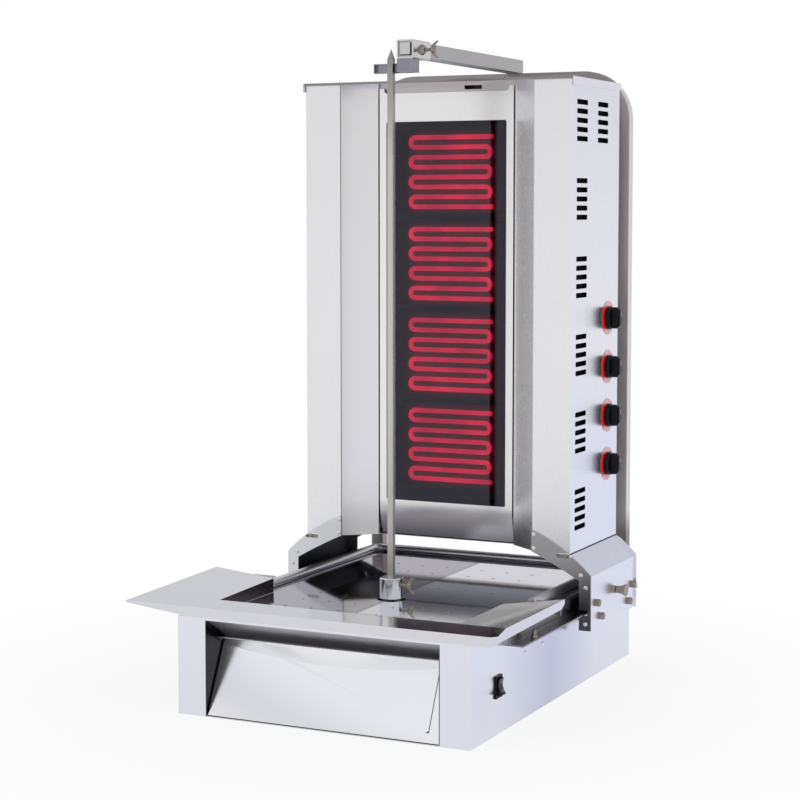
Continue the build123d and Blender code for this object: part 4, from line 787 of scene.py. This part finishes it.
finished(fasteners, "base_screws_and_stops", "base", None, ["base_fasteners"])


THREAD_RADIUS = 3.0
THREAD_PITCH = 1.0


def threaded(length):
    """Steps of a rod whose rings stand for its thread, in millimetres."""
    height = THREAD_RADIUS * 0.25
    steps = [(THREAD_RADIUS * 0.8, 0), (THREAD_RADIUS, height)]
    while height + THREAD_PITCH < length:
        steps += [(THREAD_RADIUS, height + 0.15 * THREAD_PITCH),
                  (THREAD_RADIUS * 0.88, height + 0.5 * THREAD_PITCH),
                  (THREAD_RADIUS, height + 0.85 * THREAD_PITCH)]
        height += THREAD_PITCH
    return steps


def thumb_screw(name, body, node, start, length):
    """Cast wing screw along +X, of a length in millimetres: a threaded shaft, a boss and two upswept ears."""
    shaft = turned(threaded(length - 5), (0, 0, 0), (0, 0, 1), 20)
    boss = turned([(5.0, length - 7), (6.0, length - 6), (5.6, length - 2.5), (4.6, length - 0.4),
                   (3.2, length)], (0, 0, 0), (0, 0, 1), 24)
    cast = [boss]
    for hand in (-1, 1):
        low = [1.5 * MM, -1.35 * MM, (length - 6.0) * MM]
        high = [8.0 * MM, 1.35 * MM, (length + 0.5) * MM]
        ear = block(low, high)
        bpy.ops.object.mode_set(mode="EDIT")
        bpy.ops.mesh.select_mode(type="FACE")
        bpy.ops.mesh.select_all(action="DESELECT")
        bpy.ops.object.mode_set(mode="OBJECT")
        for face in ear.data.polygons:
            face.select = face.normal.x > 0.9
        bpy.ops.object.mode_set(mode="EDIT")
        bpy.ops.mesh.extrude_region_move(TRANSFORM_OT_translate={"value": (4.2 * MM, 0, 4.6 * MM)})
        bpy.ops.transform.resize(value=(1, 1, 0.86), center_override=(12.2 * MM, 0, (length + 2) * MM))
        bpy.ops.mesh.extrude_region_move(TRANSFORM_OT_translate={"value": (2.2 * MM, 0, 2.6 * MM)})
        bpy.ops.transform.resize(value=(1, 0.75, 0.6), center_override=(14.4 * MM, 0, (length + 4.6) * MM))
        bpy.ops.object.mode_set(mode="OBJECT")
        if hand < 0:
            ear.scale = (-1, 1, 1)
            settle(ear)
            close_up(ear)
        cast.append(ear)
    wing = joined(name, cast)
    use_modifier(wing, "REMESH", mode="VOXEL", voxel_size=0.0005)
    use_modifier(wing, "SMOOTH", factor=0.5, iterations=7)
    shade(wing, 60)
    shade(shaft, 50)
    whole = joined(name, [wing, shaft])
    whole.matrix_world = facing(start, (1, 0, 0))
    settle(whole)
    finished(whole, name, body, cast_nickel, [node])


# Y and Z of the screw through the sleeve, and the foot of the clamp's screw
SLEEVE_SCREW = (y_at(278), 1.0815)
CLAMP_FOOT = (0.2635, y_at(570), 0.151)

thumb_screw("hub_thumb_screw", "hub_wing_bolt", "hub_wing_bolt", (0.0055, 0, 0.19), 32)
thumb_screw("sleeve_thumb_screw", "sleeve_wing_bolt", "sleeve_wing_bolt", (0.045, *SLEEVE_SCREW), 26.5)

clamp = [turned(threaded(27), CLAMP_FOOT, (1, 0, 0), 24)]
clamp.append(turned([(5.8, 27), (6.6, 27.6), (6.7, 31), (7.3, 35), (8.6, 39.2), (10.3, 42.6), (11, 43.6),
                     (11, 44.3), (10.4, 45), (9.2, 45), (8.9, 44.6)], CLAMP_FOOT, (1, 0, 0), 40))
for part in clamp:
    shade(part, 30)
finished(joined("clamp_screw", clamp), "clamp_screw", "clamp_knob", cast_nickel,
         ["clamp_knob"])

# Distance and height of the glide pads' nuts, in millimetres
pads = [(467.7, 145.8), (488.2, 119.2), (633.3, 119.2), (653.8, 145.8)]
nut = turned([(5.4, 0), (5.4, 0.8), (6.5, 1.4), (6.5, 5.6), (6.1, 6.6), (5.0, 7.5), (3.4, 8.0)],
             (0, 0, 0), (0, 0, 1), 28)
shade(nut, 34)
nuts = copies(nut, [facing((hand * 0.29, y_at(distance), z * MM), (hand, 0, 0))
                    for hand in (-1, 1) for distance, z in pads])
finished(joined("glide_nuts", nuts), "glide_nuts", "carriage", cast_nickel, ["dome_nuts"])

cone = turned([(9.0, 0), (9.0, 1.2), (6.5, 5.3), (6.0, 6.0), (3.3, 6.0)], (0.0473, *SLEEVE_SCREW),
              (1, 0, 0), 32)
shade(cone, 30)
finished(cone, "sleeve_cone_nut", "sleeve", cast_nickel, ["sleeve_nut"])


# Knobs

def power_knob():
    """Round skirt with an upright grip bar and a painted pointer, made along +Z at the origin."""
    skirt = turned([(19.6, 0), (20.5, 0.8), (20.5, 4.6), (20.0, 6.4), (18.6, 7.6), (17.0, 8.0)],
                   (0, 0, 0), (0, 0, 1), 56)
    grip = turned([(19.2, 6.6), (19.2, 12.5), (18.9, 15.5), (18.1, 18.4), (16.6, 21.0), (14.4, 22.9),
                   (11.6, 24.0)], (0, 0, 0), (0, 0, 1), 56)
    for hand in (-1, 1):
        bpy.ops.object.mode_set(mode="EDIT")
        bpy.ops.mesh.select_all(action="SELECT")
        bpy.ops.mesh.bisect(plane_co=(0, hand * 6.9 * MM, 8 * MM), plane_no=(0, hand, 0.05), use_fill=True,
                            clear_outer=True)
        bpy.ops.object.mode_set(mode="OBJECT")
    use_modifier(grip, "BEVEL", width=0.0011, segments=3, limit_method="ANGLE", angle_limit=math.radians(42))
    pointer = block((-11.4 * MM, -0.7 * MM, 23.7 * MM), (-3.0 * MM, 0.7 * MM, 24.08 * MM), 0.0001)
    for part in (skirt, grip):
        part.data.materials.append(black_plastic)
        shade(part, 30)
        use_modifier(part, "WEIGHTED_NORMAL", weight=80, keep_sharp=True)
    pointer.data.materials.append(mark_paint)
    return joined("power_knob", [skirt, grip, pointer])


knob_places = [facing((0.2553, y_at(614), KNOB_FIRST + index * KNOB_PITCH), (1, 0, 0))
               for index in range(ZONES)]
for index, knob in enumerate(copies(power_knob(), knob_places)):
    finished(knob, f"power_knob_{index + 1}", f"knob_{index + 1}", None,
             [f"knob_{index + 1}"])


# Switch, cord gland, painted shade behind the vents, the arm's plug, and strips of painted shadow along the
# seams

frame_piece = softened("switch_frame", 0.0007, 3)
finished(frame_piece, "switch_bezel", "base", black_plastic, ["switch_frame"])
rocker = softened("switch_rocker", 0.0006, 3)
rocker.data.materials.clear()
rocker.data.materials.append(black_plastic)
ROCKER_TILT = math.radians(8)
MARK_TILT = 0.3
ROCKER_PIVOT = Vector((0.2615, y_at(105), 0.0765))


def on_rocker(up, out):
    """A place on the rocker's face, so far up it and out from its pivot, in millimetres."""
    across, rise = math.cos(ROCKER_TILT), math.sin(ROCKER_TILT)
    return ROCKER_PIVOT + Vector((across * out - rise * up, 0, rise * out + across * up)) * MM


def rocker_mark(up, angle):
    """The matrix that lays a mark on the rocker's face, so far up it, facing along an angle above level."""
    return facing(on_rocker(up, 5.9), (math.cos(angle), 0, math.sin(angle)))


bar = block((-2.2 * MM, -0.35 * MM, -0.1 * MM), (2.2 * MM, 0.35 * MM, 0.12 * MM), 0.00005)
bar.matrix_world = rocker_mark(6.9, ROCKER_TILT + MARK_TILT)
settle(bar)
bpy.ops.object.select_all(action="DESELECT")
bpy.ops.mesh.primitive_torus_add(major_radius=1.9 * MM, minor_radius=0.3 * MM, major_segments=28,
                                 minor_segments=8)
ring = bpy.context.object
ring.matrix_world = rocker_mark(-6.9, ROCKER_TILT - MARK_TILT)
settle(ring)
for mark in (bar, ring):
    mark.data.materials.clear()
    mark.data.materials.append(mark_paint)
    shade(mark, 40)
finished(joined("switch_rocker_moulding", [rocker, bar, ring]), "switch_rocker_moulding", "rocker",
         None, ["switch_rocker"])

gland_foot = (0.18, y_at(714), 0.06)
gland = [turned([(9, 0), (9, 12), (4, 12), (4, 0.5)], gland_foot, (0, 1, 0), 32),
         turned([(13.5, 12), (13.5, 17.4), (12.9, 18), (4, 18), (4, 12.5)], gland_foot, (0, 1, 0), 6),
         turned([(10.5, 18), (10.5, 19), (9.6, 19.6), (10.3, 20.4), (9.2, 26), (7.5, 30), (4, 30), (4, 18.5)],
                gland_foot, (0, 1, 0), 32)]
for part in gland:
    shade(part, 30)
finished(joined("cord_gland", gland), "cord_gland", "base", black_plastic, ["cable_gland"])

# Dark sheets behind the vent slots: painted shade.
shade_baffles = []
for hand in (-1, 1):
    for front, rear, low, high in ((440, 526, 260, 1025), (531, 612, 905, 1025)):
        sides = sorted((hand * 0.2475, hand * 0.2463))
        shade_baffles.append(block((sides[0], y_at(front), low * MM), (sides[1], y_at(rear), high * MM), 0.0003))
finished(joined("vent_shade_baffles", shade_baffles), "vent_shade_baffles", "carriage", vent_shade_black)

plug = block((0.0216, y_at(246.2), 1.0726), (0.0402, y_at(247.6), 1.0919), 0.0012, 3)
plug.data.materials.append(plug_plastic)
shade(plug, 30)
# A dark strip beside the plug stands for the shadow in the gap: painted shadow.
plug_gap_shadow = block((0.0216, y_at(247.4), 1.0711), (0.0424, y_at(248.2), 1.0919), 0.0002)
plug_gap_shadow.data.materials.append(shadow_steel)
finished(joined("arm_end_plug", [plug, plug_gap_shadow]), "arm_end_plug", "base", None)

# Dark strips where the covers meet the side walls: painted shadow in the joints.
seam_shadows = []
for hand in (-1, 1):
    sides = sorted((hand * 0.2538, hand * 0.2556))
    seam_shadows.append(block((sides[0], y_at(433.2), 0.2312), (sides[1], y_at(665.8), 0.2326), 0.0003))
finished(joined("cover_seam_shadows", seam_shadows), "cover_seam_shadows", "carriage", shadow_steel)

# A dark strip along the notch's lower edge: painted shadow in the gap.
notch_seam_shadow = block((-0.1125, y_at(481.7), 1.0221), (0.1125, y_at(482.6), 1.0236), 0.0002)
finished(notch_seam_shadow, "notch_seam_shadow", "carriage", shadow_steel)
# Dark strips at the drawer opening's side edges: painted shadow beside the drawer.
JAMB_X, JAMB_HALF = 0.20715, 0.0006
jambs = [block((hand * JAMB_X - JAMB_HALF, y_at(0.25), 0.004),
               (hand * JAMB_X + JAMB_HALF, y_at(1.4), 0.139), 0.0002) for hand in (-1, 1)]
finished(joined("jamb_seam_shadows", jambs), "jamb_seam_shadows", "base", shadow_steel)


# Floor, studio light and camera

def floor_material():
    """White studio floor that keeps the object's soft shadow."""
    material = bpy.data.materials.new("studio_floor")
    material.use_nodes = True
    tree = material.node_tree
    tree.nodes.clear()
    matt = node_in(tree, "ShaderNodeBsdfDiffuse")
    matt.inputs["Color"].default_value = (0.86, 0.86, 0.87, 1)
    glow = node_in(tree, "ShaderNodeEmission")
    rays = node_in(tree, "ShaderNodeLightPath")
    place = node_in(tree, "ShaderNodeTexCoord")
    axes = node_in(tree, "ShaderNodeSeparateXYZ")
    tree.links.new(place.outputs["Object"], axes.inputs[0])
    sheen = mixed(tree, ranged(tree, axes.outputs["X"], 0, 1, 0.1, 0.6), (0.88, 0.88, 0.89),
                  (0.84, 0.86, 0.94))
    tree.links.new(mixed(tree, rays.outputs["Is Glossy Ray"], (1, 1, 1), sheen), glow.inputs["Color"])
    mirrored = math_in(tree, "MAXIMUM", rays.outputs["Is Glossy Ray"], rays.outputs["Is Transmission Ray"])
    seen = math_in(tree, "MAXIMUM", rays.outputs["Is Camera Ray"], mirrored)
    distance = node_in(tree, "ShaderNodeVectorMath", operation="LENGTH")
    tree.links.new(place.outputs["Object"], distance.inputs[0])
    share = math_in(tree, "MULTIPLY", seen, ranged(tree, distance.outputs["Value"], 0.86, 1.0, 0.5, 1.1))
    blend = node_in(tree, "ShaderNodeMixShader")
    tree.links.new(share, blend.inputs[0])
    tree.links.new(matt.outputs[0], blend.inputs[1])
    tree.links.new(glow.outputs[0], blend.inputs[2])
    out = node_in(tree, "ShaderNodeOutputMaterial")
    tree.links.new(blend.outputs[0], out.inputs["Surface"])
    return material


bpy.ops.object.select_all(action="DESELECT")
bpy.ops.mesh.primitive_plane_add(size=FLOOR_SIZE, location=(0, 0.5, -0.0004))
floor = bpy.context.object
floor.name = "studio_floor"
floor.data.materials.append(floor_material())
settle(floor)


def studio_world():
    """Plain level light for the surfaces, and a pale room for the camera and the steel to see."""
    world = bpy.data.worlds.new("studio_room")
    bpy.context.scene.world = world
    world.use_nodes = True
    tree = world.node_tree
    tree.nodes.clear()
    place = node_in(tree, "ShaderNodeTexCoord")
    axes = node_in(tree, "ShaderNodeSeparateXYZ")
    tree.links.new(place.outputs["Generated"], axes.inputs[0])
    side = mixed(tree, ranged(tree, axes.outputs["X"], 0, 1, 0.15, 0.8), (0.95, 0.94, 0.93),
                 (0.86, 0.865, 0.90))
    level = mixed(tree, ranged(tree, axes.outputs["Z"], 0, 1, -0.02, 0.13), side, (0.74, 0.74, 0.765))
    ceiling = mixed(tree, ranged(tree, axes.outputs["Y"], 0, 1, -0.2, 0.5), (0.90, 0.90, 0.92),
                    (0.60, 0.61, 0.67))
    upper = mixed(tree, ranged(tree, axes.outputs["Z"], 0, 1, 0.22, 0.42), level, ceiling)
    above = mixed(tree, ranged(tree, axes.outputs["Z"], 0, 1, 0.75, 0.98), upper, (0.62, 0.62, 0.65))
    room = node_in(tree, "ShaderNodeBackground")
    tree.links.new(above, room.inputs["Color"])
    ambient = node_in(tree, "ShaderNodeBackground")
    ambient.inputs["Color"].default_value = (0.95, 0.96, 1.0, 1)
    ambient.inputs["Strength"].default_value = 0.62
    white = node_in(tree, "ShaderNodeBackground")
    white.inputs["Color"].default_value = (1, 1, 1, 1)
    rays = node_in(tree, "ShaderNodeLightPath")
    mirrored = node_in(tree, "ShaderNodeMixShader")
    bounced = math_in(tree, "MAXIMUM", rays.outputs["Is Glossy Ray"], rays.outputs["Is Transmission Ray"])
    tree.links.new(bounced, mirrored.inputs[0])
    tree.links.new(ambient.outputs[0], mirrored.inputs[1])
    tree.links.new(room.outputs[0], mirrored.inputs[2])
    seen = node_in(tree, "ShaderNodeMixShader")
    tree.links.new(rays.outputs["Is Camera Ray"], seen.inputs[0])
    tree.links.new(mirrored.outputs[0], seen.inputs[1])
    tree.links.new(white.outputs[0], seen.inputs[2])
    out = node_in(tree, "ShaderNodeOutputWorld")
    tree.links.new(seen.outputs[0], out.inputs["Surface"])


def soft_lamp(name, place, target, size, energy):
    """Softbox at a place, turned to a target, that the steel doesn't mirror."""
    bpy.ops.object.select_all(action="DESELECT")
    bpy.ops.object.light_add(type="AREA", location=place)
    lamp = bpy.context.object
    lamp.name = name
    lamp.data.shape = "RECTANGLE"
    lamp.data.size, lamp.data.size_y = size
    lamp.data.energy = energy
    lamp.visible_glossy = False
    lamp.rotation_euler = (Vector(target) - Vector(place)).to_track_quat("-Z", "Y").to_euler()


studio_world()
soft_lamp("key_softbox", (-2.8, -2.8, 3.2), (0, 0.1, 0.5), (3.6, 3.6), 52)
soft_lamp("side_softbox", (3.4, -0.6, 2.8), (0, 0.2, 0.5), (3.2, 3.2), 36)

# The photograph's camera, fitted to the object's edges. The photograph was straightened, and its full shift
# would cut the top off in other views, so that the camera tilts down instead and keeps a small shift.
CAMERA_PLACE = (1.4445, -2.9632, 0.8230)
CAMERA_TILT = math.radians(85.586)
CAMERA_TURN = math.radians(25.736)

bpy.ops.object.camera_add(location=CAMERA_PLACE, rotation=(CAMERA_TILT, 0, CAMERA_TURN))
camera = bpy.context.object
camera.name = "photo_camera"
camera.data.sensor_width = 36.0
camera.data.lens = 89.10
camera.data.shift_y = -0.05
bpy.context.scene.camera = camera
bpy.context.scene.view_settings.view_transform = "Standard"
